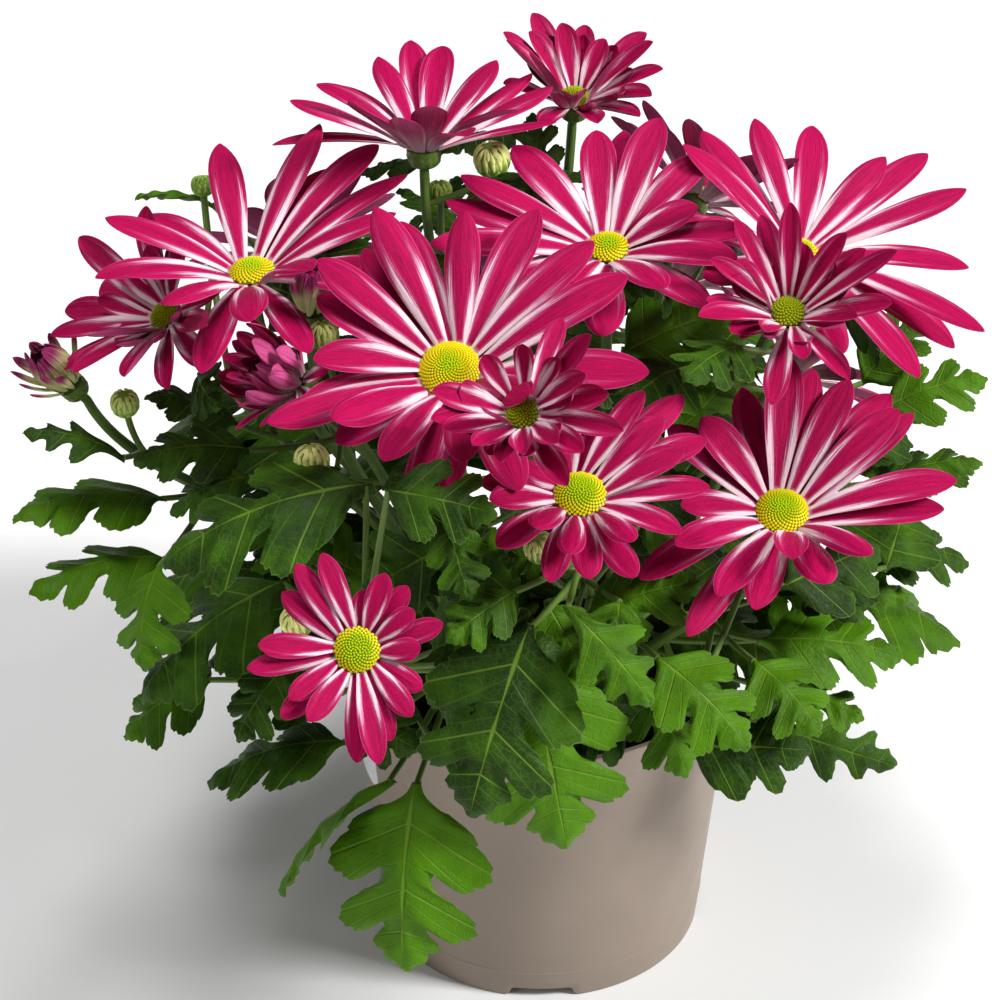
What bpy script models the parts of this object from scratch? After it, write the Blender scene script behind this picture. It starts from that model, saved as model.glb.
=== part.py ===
"""Pot chrysanthemum: a daisy-flowered pot mum growing in a plastic nursery pot.

Metres, +Z up. The origin is the middle of the pot's underside, on the surface that it
stands on. The front of the plant faces -Y, and its right side is +X. Five rooted
cuttings stand in the soil, each one branching body with its leaves and buds. Every
flower head is a whorl of ray florets on a small receptacle, with its disc on top.
"""

import math
from typing import NamedTuple

import bmesh
import bpy
from mathutils import Matrix, Vector
from mathutils.bvhtree import BVHTree
from mathutils.geometry import delaunay_2d_cdt

# Pot, a moulded 12 cm nursery pot
POT_HEIGHT = 0.098
POT_BASE_RADIUS = 0.050
POT_TAPER = 0.0935
POT_WALL = 0.0013
RIM_BAND_HEIGHT = 0.009
RIM_BAND_STEP = 0.0008
FOOT_WIDTH = 0.004
FLOOR_THICKNESS = 0.002
CHANNEL_DEPTH = 0.0035
CHANNEL_INNER_RADIUS = 0.022
CHANNEL_OUTER_RADIUS = 0.0445
NOTCH_TOP_WIDTH = 0.018
NOTCH_FOOT_WIDTH = 0.0215
NOTCH_HEIGHT = 0.0033
NOTCH_COUNT = 4
DRAIN_RADIUS = 0.0045
DRAIN_CIRCLE_RADIUS = 0.034
DRAIN_COUNT = 4
DRAIN_SIDES = 6
POT_SIDES = 28
# How far a cutter reaches past the surface that it opens
CUTTER_MARGIN = 0.001

# Soil, and the cuttings in it
SEAT_GAP = 0.0003
SOIL_LEVEL = 0.085
SOIL_CROWN = 0.0016
SOIL_WAVE = 0.0012
SOIL_WAVE_AT = 0.62
HOLE_BOTTOM = 0.060
MAIN_STEM_RADIUS = 0.0034
MAIN_STEM_TOP = 0.106
BRANCH_RADIUS = 0.0019
NECK_RADIUS = 0.0014
STEM_SIDES = 6
BRANCH_STEPS = 4
BRANCH_SPREAD = 0.21
BRANCH_LEAD = 0.31
BRANCH_UPRIGHT = 0.40
NODE_SPACING = 0.0042

# Bud stalks, and the outline of a bud: place along its axis and width, in its radius
STALK_HEIGHT = 0.030
STALK_RADIUS = 0.0011
STALK_UPRIGHT = 0.58
BUD_PROFILE = ((0.5, 0.92), (1.3, 0.95), (2.0, 0.30))

# Flower heads
RAY_THICKNESS = 0.0007
RECEPTACLE_LAYER = 0.00075
CUP_HEIGHT = 0.0055
CUP_SHOULDER = 0.6
NECK_LENGTH = 0.003
RAY_STOPS_LARGE = ((0.42, 0.92), (0.86, 0.74))
RAY_STOPS_SMALL = ((0.72, 0.96),)
DISC_SIDES = 8
DISC_RELIEF = 0.0003
DISC_DOME = 0.42
DISC_WIDTH_OPEN = 0.98
DISC_WIDTH_CUPPED = 0.86
OPEN_LIFT = 30.0
RECEPTACLE_WIDTH = 0.92
LARGE_REACH = 0.037
CUP_WIDTH = 0.90
LAYER_LIFT = 4.0

# Places that a ray's tip may take. A tip that is seen slides along its line of sight in
# even steps; one that isn't seen changes its lift, turn and length. A degree away from
# the nominal lift counts as much as DEGREE_COST of the length.
SIGHT_STEPS = 40
SIGHT_STEP = 0.0015
DEGREE_COST = 0.012
MOST_DROOP = 55.0
MOST_RISE = 45.0
STEEPEST_RAY = 80.0
RULE_LIFTS = (0, 4, -4, 8, -8, 12, -12, 16, -16, 20, -20, 24, -24, 28, 32)
RULE_SWINGS = (0, 6, -6)
RULE_SIZES = (0.96, 0.82, 0.66)
FIRST_TURN = 0.35

# Leaves
LEAF_THICKNESS = 0.0007
PETIOLE_HALF_WIDTH = 0.0010
PETIOLE_HALF_DEPTH = 0.0007
LEAF_ARCH = 0.10
LEAF_FOLD = 0.16
BLADE_UPRIGHT = 0.54

# Room kept between one piece and the next
CLEARANCE = 0.00035
# Rays of one head spring from facets that touch, so they are tested with little room,
# from a short way along
SLIM_SWELL = 0.00005
SLIM_START = 0.12

# Faces closer to one plane than this are merged after fusing
FLAT_ANGLE = math.radians(2.5)

# The reference view: the eye's place, how far it looks down, and its focal length
# in pixels of a square view 1000 pixels wide. Pixel pairs below are across and down.
EYE = Vector((-0.0129, -0.8505, 0.6976))
LOOK_DOWN = math.radians(32.77)
VIEW_FOCAL = 3409.0
VIEW_MIDDLE = 500.0


class Bloom(NamedTuple):
    """A flower head as it stands in the reference view."""

    name: str
    plant: int
    seen: tuple          # middle of the head, in pixels
    depth: float         # its place along Y
    facing: tuple        # turn from the front towards +X, and height, in degrees
    reach: float         # length of a ray
    width: float         # widest part of a ray
    lift: float          # rise of the rays above the head's own plane, in degrees
    bow: float           # arch of a ray as a part of its length
    head: float          # radius of the disc
    count: int           # number of rays
    tips: tuple = ()     # where the tips of the rays are seen, in pixels
    has_disc: bool = True


BLOOMS = (
    Bloom("bloom_01", 1, (450, 370), -0.055, (-8, 58), 0.046, 0.0115, 12, 0.06, 0.0084, 22,
          ((375, 208), (401, 224), (538, 211), (594, 242), (627, 274), (576, 284), (649, 373),
           (318, 260), (317, 294), (313, 358), (297, 409), (267, 424), (332, 420), (335, 442),
           (383, 458), (413, 508), (444, 493), (462, 463), (363, 246))),
    Bloom("bloom_02", 3, (252, 272), -0.010, (-30, 82), 0.046, 0.0105, 14, 0.06, 0.0062, 18,
          ((220, 145), (319, 121), (378, 143), (407, 172), (335, 166), (322, 213), (137, 213),
           (311, 265), (309, 351), (201, 371), (164, 300))),
    Bloom("bloom_03", 5, (424, 143), 0.028, (180, 80), 0.042, 0.0100, 16, 0.05, 0.0055, 18,
          ((411, 45), (442, 48), (497, 61), (532, 75), (532, 96), (317, 86), (340, 85),
           (301, 108), (273, 148), (399, 118), (469, 134))),
    Bloom("bloom_04", 5, (575, 98), 0.062, (20, 78), 0.030, 0.0075, 34, 0.04, 0.0050, 18,
          ((527, 33), (560, 24), (585, 26), (606, 40), (628, 56), (652, 97), (640, 118),
           (598, 128), (540, 126), (524, 60))),
    Bloom("bloom_05", 2, (608, 248), -0.008, (0, 72), 0.042, 0.0110, 15, 0.06, 0.0056, 16,
          ((513, 145), (596, 132), (624, 129), (659, 116), (698, 207), (663, 290), (446, 201),
           (430, 245), (461, 175))),
    Bloom("bloom_06", 2, (788, 312), -0.032, (0, 60), 0.029, 0.0070, 36, 0.03, 0.0052, 18,
          ((734, 220), (790, 201), (806, 244), (900, 252), (894, 306), (860, 322), (849, 380),
           (771, 405), (803, 365), (698, 317), (706, 301), (741, 265), (761, 338))),
    Bloom("bloom_07", 4, (800, 253), 0.005, (35, 68), 0.048, 0.0100, 15, 0.05, 0.0052, 18,
          ((755, 118), (814, 124), (886, 156), (927, 155), (966, 191), (970, 265), (985, 330),
           (956, 346), (921, 375), (698, 223), (723, 183), (704, 277))),
    Bloom("bloom_08", 1, (522, 413), -0.088, (-15, 48), 0.027, 0.0070, 34, 0.03, 0.0048, 20,
          ((454, 338), (459, 376), (480, 417), (472, 449), (501, 466), (524, 457), (560, 447),
           (569, 488), (624, 431), (611, 396), (591, 376), (596, 335), (562, 322), (528, 347))),
    Bloom("bloom_09", 2, (580, 495), -0.085, (0, 66), 0.030, 0.0085, 12, 0.06, 0.0069, 20,
          ((480, 485), (489, 501), (517, 463), (497, 547), (535, 526), (550, 583), (569, 553),
           (635, 578), (633, 542), (681, 533), (710, 487), (684, 451), (706, 440), (663, 419),
           (684, 394), (644, 392), (605, 415), (560, 425))),
    Bloom("bloom_10", 2, (782, 512), -0.062, (0, 66), 0.044, 0.0105, 12, 0.06, 0.0072, 20,
          ((742, 386), (701, 419), (668, 427), (681, 505), (676, 547), (640, 578), (718, 599),
           (688, 638), (755, 609), (792, 562), (826, 582), (870, 553), (944, 510), (957, 478),
           (913, 414), (899, 412), (891, 392), (849, 380), (814, 366), (788, 356))),
    Bloom("bloom_11", 1, (357, 650), -0.112, (3, 38), 0.025, 0.0070, 12, 0.05, 0.0060, 20,
          ((322, 553), (296, 564), (282, 592), (319, 592), (367, 589), (386, 573), (408, 586),
           (414, 610), (443, 623), (421, 648), (422, 690), (391, 741), (379, 765), (357, 763),
           (308, 722), (281, 718), (289, 699), (247, 669), (258, 645))),
    Bloom("bloom_12", 3, (165, 315), -0.012, (-55, 50), 0.034, 0.0085, 24, 0.03, 0.0050, 18,
          ((82, 240), (66, 312), (90, 345), (128, 382), (172, 392), (105, 290), (122, 262),
           (213, 330), (215, 372), (150, 262))),
    Bloom("bloom_13", 1, (292, 380), -0.045, (-65, 35), 0.021, 0.0056, 46, 0.02, 0.0046, 20,
          ((217, 376), (228, 398), (236, 430), (256, 345), (300, 340), (330, 372), (322, 410),
           (262, 428), (296, 420)), False),
    Bloom("bloom_14", 3, (66, 380), -0.020, (-60, 55), 0.015, 0.0034, 52, -0.04, 0.0044, 12,
          ((12, 358), (10, 372), (18, 386), (40, 350), (56, 346), (74, 352), (30, 396)), False),
    Bloom("bloom_15", 3, (312, 305), -0.022, (20, 80), 0.014, 0.0042, 66, -0.06, 0.0042, 8,
          ((292, 284), (312, 278), (332, 288)), False),
    Bloom("bloom_16", 4, (697, 196), 0.040, (140, 40), 0.036, 0.0090, 18, 0.05, 0.0052, 14,
          ((655, 118), (690, 118), (716, 166), (640, 150), (668, 205), (745, 185), (736, 222))),
    Bloom("bloom_17", 5, (300, 250), 0.078, (205, 42), 0.040, 0.0105, 14, 0.05, 0.0060, 14),
    Bloom("bloom_18", 5, (470, 285), 0.104, (182, 46), 0.042, 0.0105, 12, 0.05, 0.0065, 15),
    Bloom("bloom_19", 4, (675, 280), 0.100, (158, 46), 0.040, 0.0105, 14, 0.05, 0.0060, 14),
    Bloom("bloom_20", 4, (800, 370), 0.078, (128, 42), 0.038, 0.0100, 14, 0.05, 0.0060, 14),
)

# Where each cutting stands in the soil, as X and Y
PLANTS = {
    1: (-0.020, -0.020),
    2: (0.021, -0.018),
    3: (-0.028, 0.008),
    4: (0.022, 0.017),
    5: (-0.006, 0.027),
}


class Bud(NamedTuple):
    """A closed bud on its own stalk."""

    plant: int
    seen: tuple
    depth: float
    radius: float


BUDS = (
    Bud(3, (125, 404), -0.030, 0.0038),
    Bud(1, (312, 462), -0.062, 0.0047),
    Bud(1, (324, 336), -0.030, 0.0040),
    Bud(3, (203, 186), 0.050, 0.0032),
    Bud(5, (440, 192), 0.030, 0.0032),
    Bud(5, (492, 160), 0.046, 0.0052),
    Bud(2, (540, 548), -0.074, 0.0042),
    Bud(1, (297, 622), -0.096, 0.0042),
)


class Leaf(NamedTuple):
    """A leaf blade from its base to its tip, as it stands in the reference view."""

    kind: str
    base: tuple
    tip: tuple
    depths: tuple        # places of base and tip along Y
    roll: float = 0.0    # turn about the midrib, in degrees
    width: float = 0.90


LEAVES = (
    Leaf("broad", (166, 498), (12, 517), (-0.020, -0.035)),
    Leaf("broad", (168, 558), (28, 592), (-0.035, -0.050)),
    Leaf("broad", (159, 564), (143, 672), (-0.060, -0.078), 0, 1.1),
    Leaf("broad", (288, 579), (138, 700), (-0.062, -0.075), 10),
    Leaf("broad", (212, 678), (123, 738), (-0.052, -0.060), 0, 1.0),
    Leaf("broad", (288, 665), (236, 742), (-0.080, -0.092), 0, 1.0),
    Leaf("broad", (348, 741), (206, 783), (-0.085, -0.080), 30, 0.80),
    Leaf("narrow", (392, 778), (278, 893), (-0.096, -0.108), 60, 1.2),
    Leaf("broad", (415, 783), (404, 973), (-0.098, -0.120), 0, 1.0),
    Leaf("broad", (371, 484), (162, 564), (-0.070, -0.074), 15, 0.80),
    Leaf("broad", (252, 476), (169, 513), (-0.044, -0.048)),
    Leaf("narrow", (126, 458), (23, 431), (-0.030, -0.034), 0, 1.1),
    Leaf("broad", (252, 450), (133, 460), (-0.030, -0.034)),
    Leaf("broad", (240, 425), (145, 395), (-0.015, -0.018)),
    Leaf("broad", (385, 490), (497, 515), (-0.090, -0.098)),
    Leaf("broad", (491, 523), (361, 590), (-0.098, -0.108), -10),
    Leaf("broad", (517, 590), (446, 642), (-0.100, -0.112)),
    Leaf("broad", (530, 624), (469, 819), (-0.104, -0.128), 0, 0.95),
    Leaf("broad", (528, 660), (567, 850), (-0.098, -0.118), 0, 1.0),
    Leaf("narrow", (565, 605), (653, 705), (-0.108, -0.124), 0, 1.3),
    Leaf("broad", (582, 620), (702, 582), (-0.082, -0.080), -20),
    Leaf("broad", (655, 655), (750, 749), (-0.094, -0.112), 0, 0.95),
    Leaf("broad", (640, 672), (688, 778), (-0.084, -0.100)),
    Leaf("broad", (752, 659), (821, 735), (-0.076, -0.092), 0, 1.1),
    Leaf("broad", (785, 692), (865, 718), (-0.058, -0.064)),
    Leaf("narrow", (768, 722), (898, 766), (-0.052, -0.054), 45, 1.0),
    Leaf("broad", (758, 640), (903, 657), (-0.056, -0.050), 0, 0.75),
    Leaf("broad", (772, 640), (822, 592), (-0.040, -0.030), 0, 1.0),
    Leaf("narrow", (787, 586), (913, 599), (-0.036, -0.032), 30, 1.0),
    Leaf("broad", (846, 545), (970, 563), (-0.024, -0.018), 0, 0.80),
    Leaf("broad", (880, 482), (983, 462), (0.004, 0.008), 0, 0.85),
    Leaf("broad", (880, 410), (988, 377), (0.014, 0.020), 20, 0.80),
    Leaf("broad", (860, 385), (925, 315), (0.026, 0.034)),
    Leaf("narrow", (215, 205), (135, 197), (0.050, 0.056), 20, 1.1),
    Leaf("narrow", (215, 265), (138, 240), (0.022, 0.024), 0, 1.1),
    Leaf("broad", (540, 185), (533, 112), (0.048, 0.056)),
    Leaf("broad", (620, 355), (728, 312), (-0.016, 0.002)),
    Leaf("broad", (670, 440), (735, 372), (-0.030, -0.016)),
    Leaf("broad", (330, 300), (372, 235), (0.030, 0.044)),
    Leaf("broad", (400, 600), (300, 540), (-0.085, -0.075)),
    Leaf("broad", (440, 560), (395, 610), (-0.092, -0.106)),
    Leaf("broad", (560, 560), (500, 560), (-0.070, -0.066)),
    Leaf("broad", (640, 520), (700, 560), (-0.050, -0.058)),
    Leaf("broad", (620, 600), (610, 660), (-0.080, -0.100)),
    Leaf("broad", (330, 420), (250, 400), (-0.030, -0.020)),
    Leaf("broad", (850, 460), (905, 420), (-0.010, 0.000)),
    Leaf("broad", (480, 300), (430, 255), (-0.005, 0.008)),
    Leaf("broad", (545, 330), (575, 300), (-0.030, -0.020)),
    Leaf("broad", (600, 635), (622, 735), (-0.086, -0.100)),
    Leaf("broad", (448, 520), (470, 600), (-0.090, -0.104)),
    Leaf("broad", (545, 600), (592, 690), (-0.080, -0.096)),
    Leaf("broad", (470, 245), (398, 188), (0.030, 0.046)),
    Leaf("broad", (530, 225), (478, 160), (0.046, 0.064)),
    Leaf("broad", (712, 350), (775, 425), (-0.010, -0.020)),
)

# Leaves that the view hides: tiers of (count, first and last turn in degrees, base radius,
# base height, tip radius, tip height)
TIERS = (
    (7, 8.0, 172.0, 0.066, 0.118, 0.128, 0.098),
    (5, 20.0, 160.0, 0.060, 0.150, 0.122, 0.140),
    (8, -160.0, 155.0, 0.036, 0.146, 0.088, 0.124),
    (5, -15.0, 195.0, 0.030, 0.182, 0.084, 0.172),
)
TIER_SWING = 8.0
TIER_STAGGER = 0.008
TIER_WIDTH = 0.90

# One half of a leaf's outline, from its base to its tip: distance from the midrib and
# distance along it, as parts of the blade's length
BROAD_HALF = (
    (0.130, 0.120),
    (0.330, 0.300),
    (0.400, 0.460),
    (0.150, 0.440),
    (0.330, 0.740),
    (0.130, 0.710),
    (0.135, 0.890),
)
NARROW_HALF = (
    (0.070, 0.280),
    (0.260, 0.520),
    (0.090, 0.560),
    (0.110, 0.780),
)
MIDRIB_STOPS = (0.52,)
LEAF_NECK = 0.020
PETIOLE_FACES = 10
PETIOLE_DROP = 0.008

# How far a piece may slide along the line of sight, turn or shrink to stay clear
LEAF_SLIDES = (0.0, 0.004, -0.004, 0.008, -0.008, 0.012, -0.012, 0.017, -0.017, 0.022, -0.022)
LEAF_ROLLS = (0, 14, -14, 28, -28, 45, -45)
LEAF_SIZES = (1.0, 0.84, 0.68)

COLOURS = {
    "pot": (0.335, 0.275, 0.235),
    "soil": (0.018, 0.012, 0.009),
    "plant": (0.035, 0.130, 0.018),
    "rays": (0.420, 0.004, 0.080),
    "disc": (0.420, 0.450, 0.030),
}


def clear_scene():
    """Remove what the new file holds."""
    for thing in list(bpy.data.objects):
        bpy.data.objects.remove(thing)


def finish(name, kind, roughness):
    """A plain surface finish of one colour."""
    material = bpy.data.materials.get(name) or bpy.data.materials.new(name)
    material.use_nodes = True
    surface = material.node_tree.nodes["Principled BSDF"]
    surface.inputs["Base Color"].default_value = (*COLOURS[kind], 1.0)
    surface.inputs["Roughness"].default_value = roughness
    surface.inputs["Metallic"].default_value = 0.0
    return material


def add_object(name, points, faces, material, collection=None):
    """A closed mesh object with its faces pointing out."""
    mesh = bpy.data.meshes.new(name)
    mesh.from_pydata([tuple(point) for point in points], [], faces)
    shape = bmesh.new()
    shape.from_mesh(mesh)
    bmesh.ops.recalc_face_normals(shape, faces=shape.faces)
    bmesh.ops.triangulate(shape, faces=shape.faces)
    shape.to_mesh(mesh)
    shape.free()
    if material:
        mesh.materials.append(material)
    thing = bpy.data.objects.new(name, mesh)
    (collection or bpy.context.scene.collection).objects.link(thing)
    return thing


def apply_modifiers(thing):
    """Keep the evaluated mesh and drop the modifiers that made it."""
    depsgraph = bpy.context.evaluated_depsgraph_get()
    mesh = bpy.data.meshes.new_from_object(thing.evaluated_get(depsgraph))
    thing.modifiers.clear()
    thing.data = mesh


def polar(radius, angle, height):
    """A point on a circle round Z."""
    return Vector((radius * math.cos(angle), radius * math.sin(angle), height))


def sight(across, down):
    """Direction from the eye through a pixel."""
    ahead = Vector((0, math.cos(LOOK_DOWN), -math.sin(LOOK_DOWN)))
    right = Vector((1, 0, 0))
    up = right.cross(ahead)
    ray = ahead * VIEW_FOCAL + right * (across - VIEW_MIDDLE) + up * (VIEW_MIDDLE - down)
    return ray.normalized()


def seen_point(pixel, depth):
    """The point that is seen at a pixel, at a given place along Y."""
    ray = sight(*pixel)
    return EYE + ray * ((depth - EYE.y) / ray.y)


def lathe(profile, sides):
    """Turn (radius, height) pairs round Z. A zero radius is a pole."""
    points = []
    rings = []
    for radius, height in profile:
        if radius == 0:
            rings.append([len(points)])
            points.append(Vector((0, 0, height)))
            continue
        rings.append(list(range(len(points), len(points) + sides)))
        # A flat side faces the front, so that the notches cut flat facets
        turn = math.pi / sides
        points.extend(polar(radius, turn + math.tau * i / sides, height) for i in range(sides))
    faces = []
    for low, high in zip(rings, rings[1:]):
        for i in range(sides):
            j = (i + 1) % sides
            if len(low) == 1:
                faces.append((low[0], high[i], high[j]))
            elif len(high) == 1:
                faces.append((low[i], low[j], high[0]))
            else:
                faces.append((low[i], low[j], high[j], high[i]))
    return points, faces


def outer_radius(height):
    """Radius of the pot's outer wall."""
    return POT_BASE_RADIUS + POT_TAPER * height


def inner_radius(height):
    """Radius of the pot's inner wall."""
    return outer_radius(height) - POT_WALL


def cut(thing, cutters):
    """Take the cutters out of a solid and remove them."""
    group = bpy.data.collections.new("cutters")
    for cutter in cutters:
        group.objects.link(cutter)
    bpy.context.scene.collection.children.link(group)
    boolean = thing.modifiers.new("cut", "BOOLEAN")
    boolean.operation = "DIFFERENCE"
    boolean.operand_type = "COLLECTION"
    boolean.collection = group
    boolean.solver = "EXACT"
    apply_modifiers(thing)
    for cutter in cutters:
        bpy.data.objects.remove(cutter)
    bpy.data.collections.remove(group)


def make_pot():
    """The moulded pot: foot ring with notches, tapered wall and rim band."""
    band = POT_HEIGHT - RIM_BAND_HEIGHT
    floor_top = CHANNEL_DEPTH + FLOOR_THICKNESS
    foot_inner = POT_BASE_RADIUS - FOOT_WIDTH
    profile = (
        (0, floor_top),
        (inner_radius(floor_top), floor_top),
        (inner_radius(POT_HEIGHT), POT_HEIGHT),
        (outer_radius(POT_HEIGHT) + RIM_BAND_STEP, POT_HEIGHT),
        (outer_radius(band) + RIM_BAND_STEP, band),
        (outer_radius(band), band - RIM_BAND_STEP),
        (POT_BASE_RADIUS, 0),
        (foot_inner, 0),
        (CHANNEL_OUTER_RADIUS, CHANNEL_DEPTH),
        (CHANNEL_INNER_RADIUS + RIM_BAND_STEP, CHANNEL_DEPTH),
        (CHANNEL_INNER_RADIUS, 0),
        (0, 0),
    )
    pot = add_object("pot", *lathe(profile, POT_SIDES), finish("pot plastic", "pot", 0.55))
    cutters = [notch(math.tau * i / NOTCH_COUNT - math.pi / 2) for i in range(NOTCH_COUNT)]
    cutters += [drain(math.tau * (i + 0.5) / DRAIN_COUNT) for i in range(DRAIN_COUNT)]
    cut(pot, cutters)
    return pot


def notch(angle):
    """A wedge through the foot ring, wider at its foot."""
    out = polar(1, angle, 0)
    side = polar(1, angle + math.pi / 2, 0)
    near = CHANNEL_OUTER_RADIUS - CUTTER_MARGIN
    far = outer_radius(CHANNEL_DEPTH) + CUTTER_MARGIN
    spread = (NOTCH_FOOT_WIDTH - NOTCH_TOP_WIDTH) / 2
    low_half = NOTCH_FOOT_WIDTH / 2 + spread * CUTTER_MARGIN / CHANNEL_DEPTH
    points = []
    for reach in (near, far):
        for half, height in ((low_half, -CUTTER_MARGIN), (NOTCH_TOP_WIDTH / 2, NOTCH_HEIGHT)):
            for sign in (-1, 1):
                points.append(out * reach + side * (half * sign) + Vector((0, 0, height)))
    faces = [(0, 1, 3, 2), (4, 6, 7, 5), (0, 4, 5, 1), (2, 3, 7, 6), (0, 2, 6, 4), (1, 5, 7, 3)]
    return add_object("notch", points, faces, None)


def drain(angle):
    """A round drain hole through the pot's floor."""
    centre = polar(DRAIN_CIRCLE_RADIUS, angle, 0)
    top = CHANNEL_DEPTH + FLOOR_THICKNESS + CUTTER_MARGIN
    return prism(centre, DRAIN_RADIUS, DRAIN_SIDES, -CUTTER_MARGIN, top)


def prism(centre, radius, sides, bottom, top):
    """An upright prism, as a cutter."""
    points = []
    for height in (bottom, top):
        points += [centre + polar(radius, math.tau * i / sides, height) for i in range(sides)]
    faces = [tuple(range(sides)), tuple(range(sides, 2 * sides))]
    faces += [(i, (i + 1) % sides, sides + (i + 1) % sides, sides + i) for i in range(sides)]
    return add_object("hole", points, faces, None)


def make_soil():
    """The soil that fills the pot, with a plain hole for each main stem."""
    bottom = CHANNEL_DEPTH + FLOOR_THICKNESS + SEAT_GAP
    profile = (
        (0, bottom),
        (inner_radius(bottom) - SEAT_GAP, bottom),
        (inner_radius(SOIL_LEVEL) - SEAT_GAP, SOIL_LEVEL),
        (inner_radius(SOIL_LEVEL) * SOIL_WAVE_AT, SOIL_LEVEL + SOIL_CROWN),
        (0, SOIL_LEVEL + SOIL_CROWN),
    )
    points, faces = lathe(profile, POT_SIDES)
    inner_ring = points[-1 - POT_SIDES:-1]
    for i, point in enumerate(inner_ring):
        point.z += SOIL_WAVE * math.sin(5 * math.tau * i / POT_SIDES) * math.cos(2.3 * i)
    soil = add_object("soil", points, faces, finish("soil", "soil", 0.95))
    holes = []
    for x, y in PLANTS.values():
        size = MAIN_STEM_RADIUS + SEAT_GAP / math.cos(math.pi / STEM_SIDES)
        holes.append(prism(Vector((x, y, 0)), size, STEM_SIDES, HOLE_BOTTOM, POT_HEIGHT))
    cut(soil, holes)
    return soil


def tube(path, radii, sides):
    """Points and faces of a closed tube along a path, with flat ends."""
    points = []
    across = None
    for k, centre in enumerate(path):
        ahead = (path[min(k + 1, len(path) - 1)] - path[max(k - 1, 0)]).normalized()
        if across is None:
            across = Vector((1, 0, 0)) - ahead * ahead.x
        across = (across - ahead * across.dot(ahead)).normalized()
        over = ahead.cross(across)
        for i in range(sides):
            angle = math.tau * i / sides
            spoke = across * math.cos(angle) + over * math.sin(angle)
            points.append(centre + spoke * radii[k])
    faces = [tuple(range(sides)), tuple(range(len(points) - sides, len(points)))]
    for k in range(len(path) - 1):
        for i in range(sides):
            j = (i + 1) % sides
            low = k * sides
            high = low + sides
            faces.append((low + i, low + j, high + j, high + i))
    return points, faces


def bezier(start, lead, arrive, end, t):
    """A point on a cubic curve."""
    u = 1 - t
    return start * u ** 3 + lead * 3 * u * u * t + arrive * 3 * u * t * t + end * t ** 3


def facing_vector(turn, height):
    """Unit vector turned from the front towards +X, and raised."""
    turn = math.radians(turn)
    height = math.radians(height)
    flat = math.cos(height)
    return Vector((math.sin(turn) * flat, -math.cos(turn) * flat, math.sin(height)))


def head_frame(bloom):
    """Middle, axis, and the two directions of a head's own plane."""
    axis = facing_vector(*bloom.facing)
    right = (Vector((1, 0, 0)) - axis * axis.x).normalized()
    return seen_point(bloom.seen, bloom.depth), axis, right, axis.cross(right)


def branch_path(bloom):
    """The branch of a head, from the main stem to the base of its cup."""
    middle, axis, _, _ = head_frame(bloom)
    foot_x, foot_y = PLANTS[bloom.plant]
    sisters = [other.name for other in BLOOMS if other.plant == bloom.plant]
    node = sisters.index(bloom.name)
    start = Vector((foot_x, foot_y, MAIN_STEM_TOP - NODE_SPACING * node))
    end = middle - axis * (2 * RECEPTACLE_LAYER + SEAT_GAP + CUP_HEIGHT + NECK_LENGTH)
    span = (end - start).length
    outward = Vector((end.x - start.x, end.y - start.y, 0))
    lead = start + outward * BRANCH_SPREAD + Vector((0, 0, span * BRANCH_LEAD))
    arrive = end - axis.lerp(Vector((0, 0, 1)), BRANCH_UPRIGHT).normalized() * span * BRANCH_LEAD
    return [bezier(start, lead, arrive, end, t / BRANCH_STEPS) for t in range(BRANCH_STEPS + 1)]


def branch_tube(bloom):
    """Branch and cup of green bracts in one tube, ending in the cup's flat top."""
    middle, axis, _, _ = head_frame(bloom)
    path = branch_path(bloom)
    top = middle - axis * (2 * RECEPTACLE_LAYER + SEAT_GAP)
    core = receptacle_radius(bloom) * CUP_WIDTH
    taper = (NECK_RADIUS - BRANCH_RADIUS) / BRANCH_STEPS
    radii = [BRANCH_RADIUS + taper * k for k in range(BRANCH_STEPS + 1)]
    path += [top - axis * CUP_HEIGHT * CUP_SHOULDER, top]
    radii += [core, core]
    return tube(path, radii, STEM_SIDES)


def bud_tube(bud, starts):
    """Stalk and bud in one tube, from the nearest branch."""
    middle = seen_point(bud.seen, bud.depth)
    start = nearest_start(middle - Vector((0, 0, STALK_HEIGHT)), starts)
    rise = (middle - start).normalized()
    axis = rise.lerp(Vector((0, 0, 1)), STALK_UPRIGHT).normalized()
    base = middle - axis * bud.radius
    bend = base - axis * (base - start).length * 0.4
    path = [start, start.lerp(bend, 0.5).lerp(bend.lerp(base, 0.5), 0.5), base]
    radii = [STALK_RADIUS] * 3
    for along, wide in BUD_PROFILE:
        path.append(base + axis * bud.radius * along)
        radii.append(bud.radius * wide)
    return tube(path, radii, STEM_SIDES)


def nearest_start(place, starts):
    """The branch point closest to a place, preferring points that lie below it."""
    def cost(point):
        return (point - place).length + max(0.0, point.z - place.z) * 2.0
    return min(starts, key=cost)


def receptacle_radius(bloom):
    """Radius of the small core that the rays grow from."""
    return bloom.head * RECEPTACLE_WIDTH


def surface_tree(points, faces):
    """Search tree of a surface."""
    return BVHTree.FromPolygons([tuple(point) for point in points], faces)


class Space:
    """Surfaces already placed, with the head or plant that owns each."""

    def __init__(self):
        self.trees = []

    def add(self, owner, points, faces):
        self.trees.append((owner, surface_tree(points, faces)))

    def is_clear(self, points, faces, skip=()):
        tree = surface_tree(points, faces)
        return not any(tree.overlap(other) for owner, other in self.trees if owner not in skip)


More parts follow.
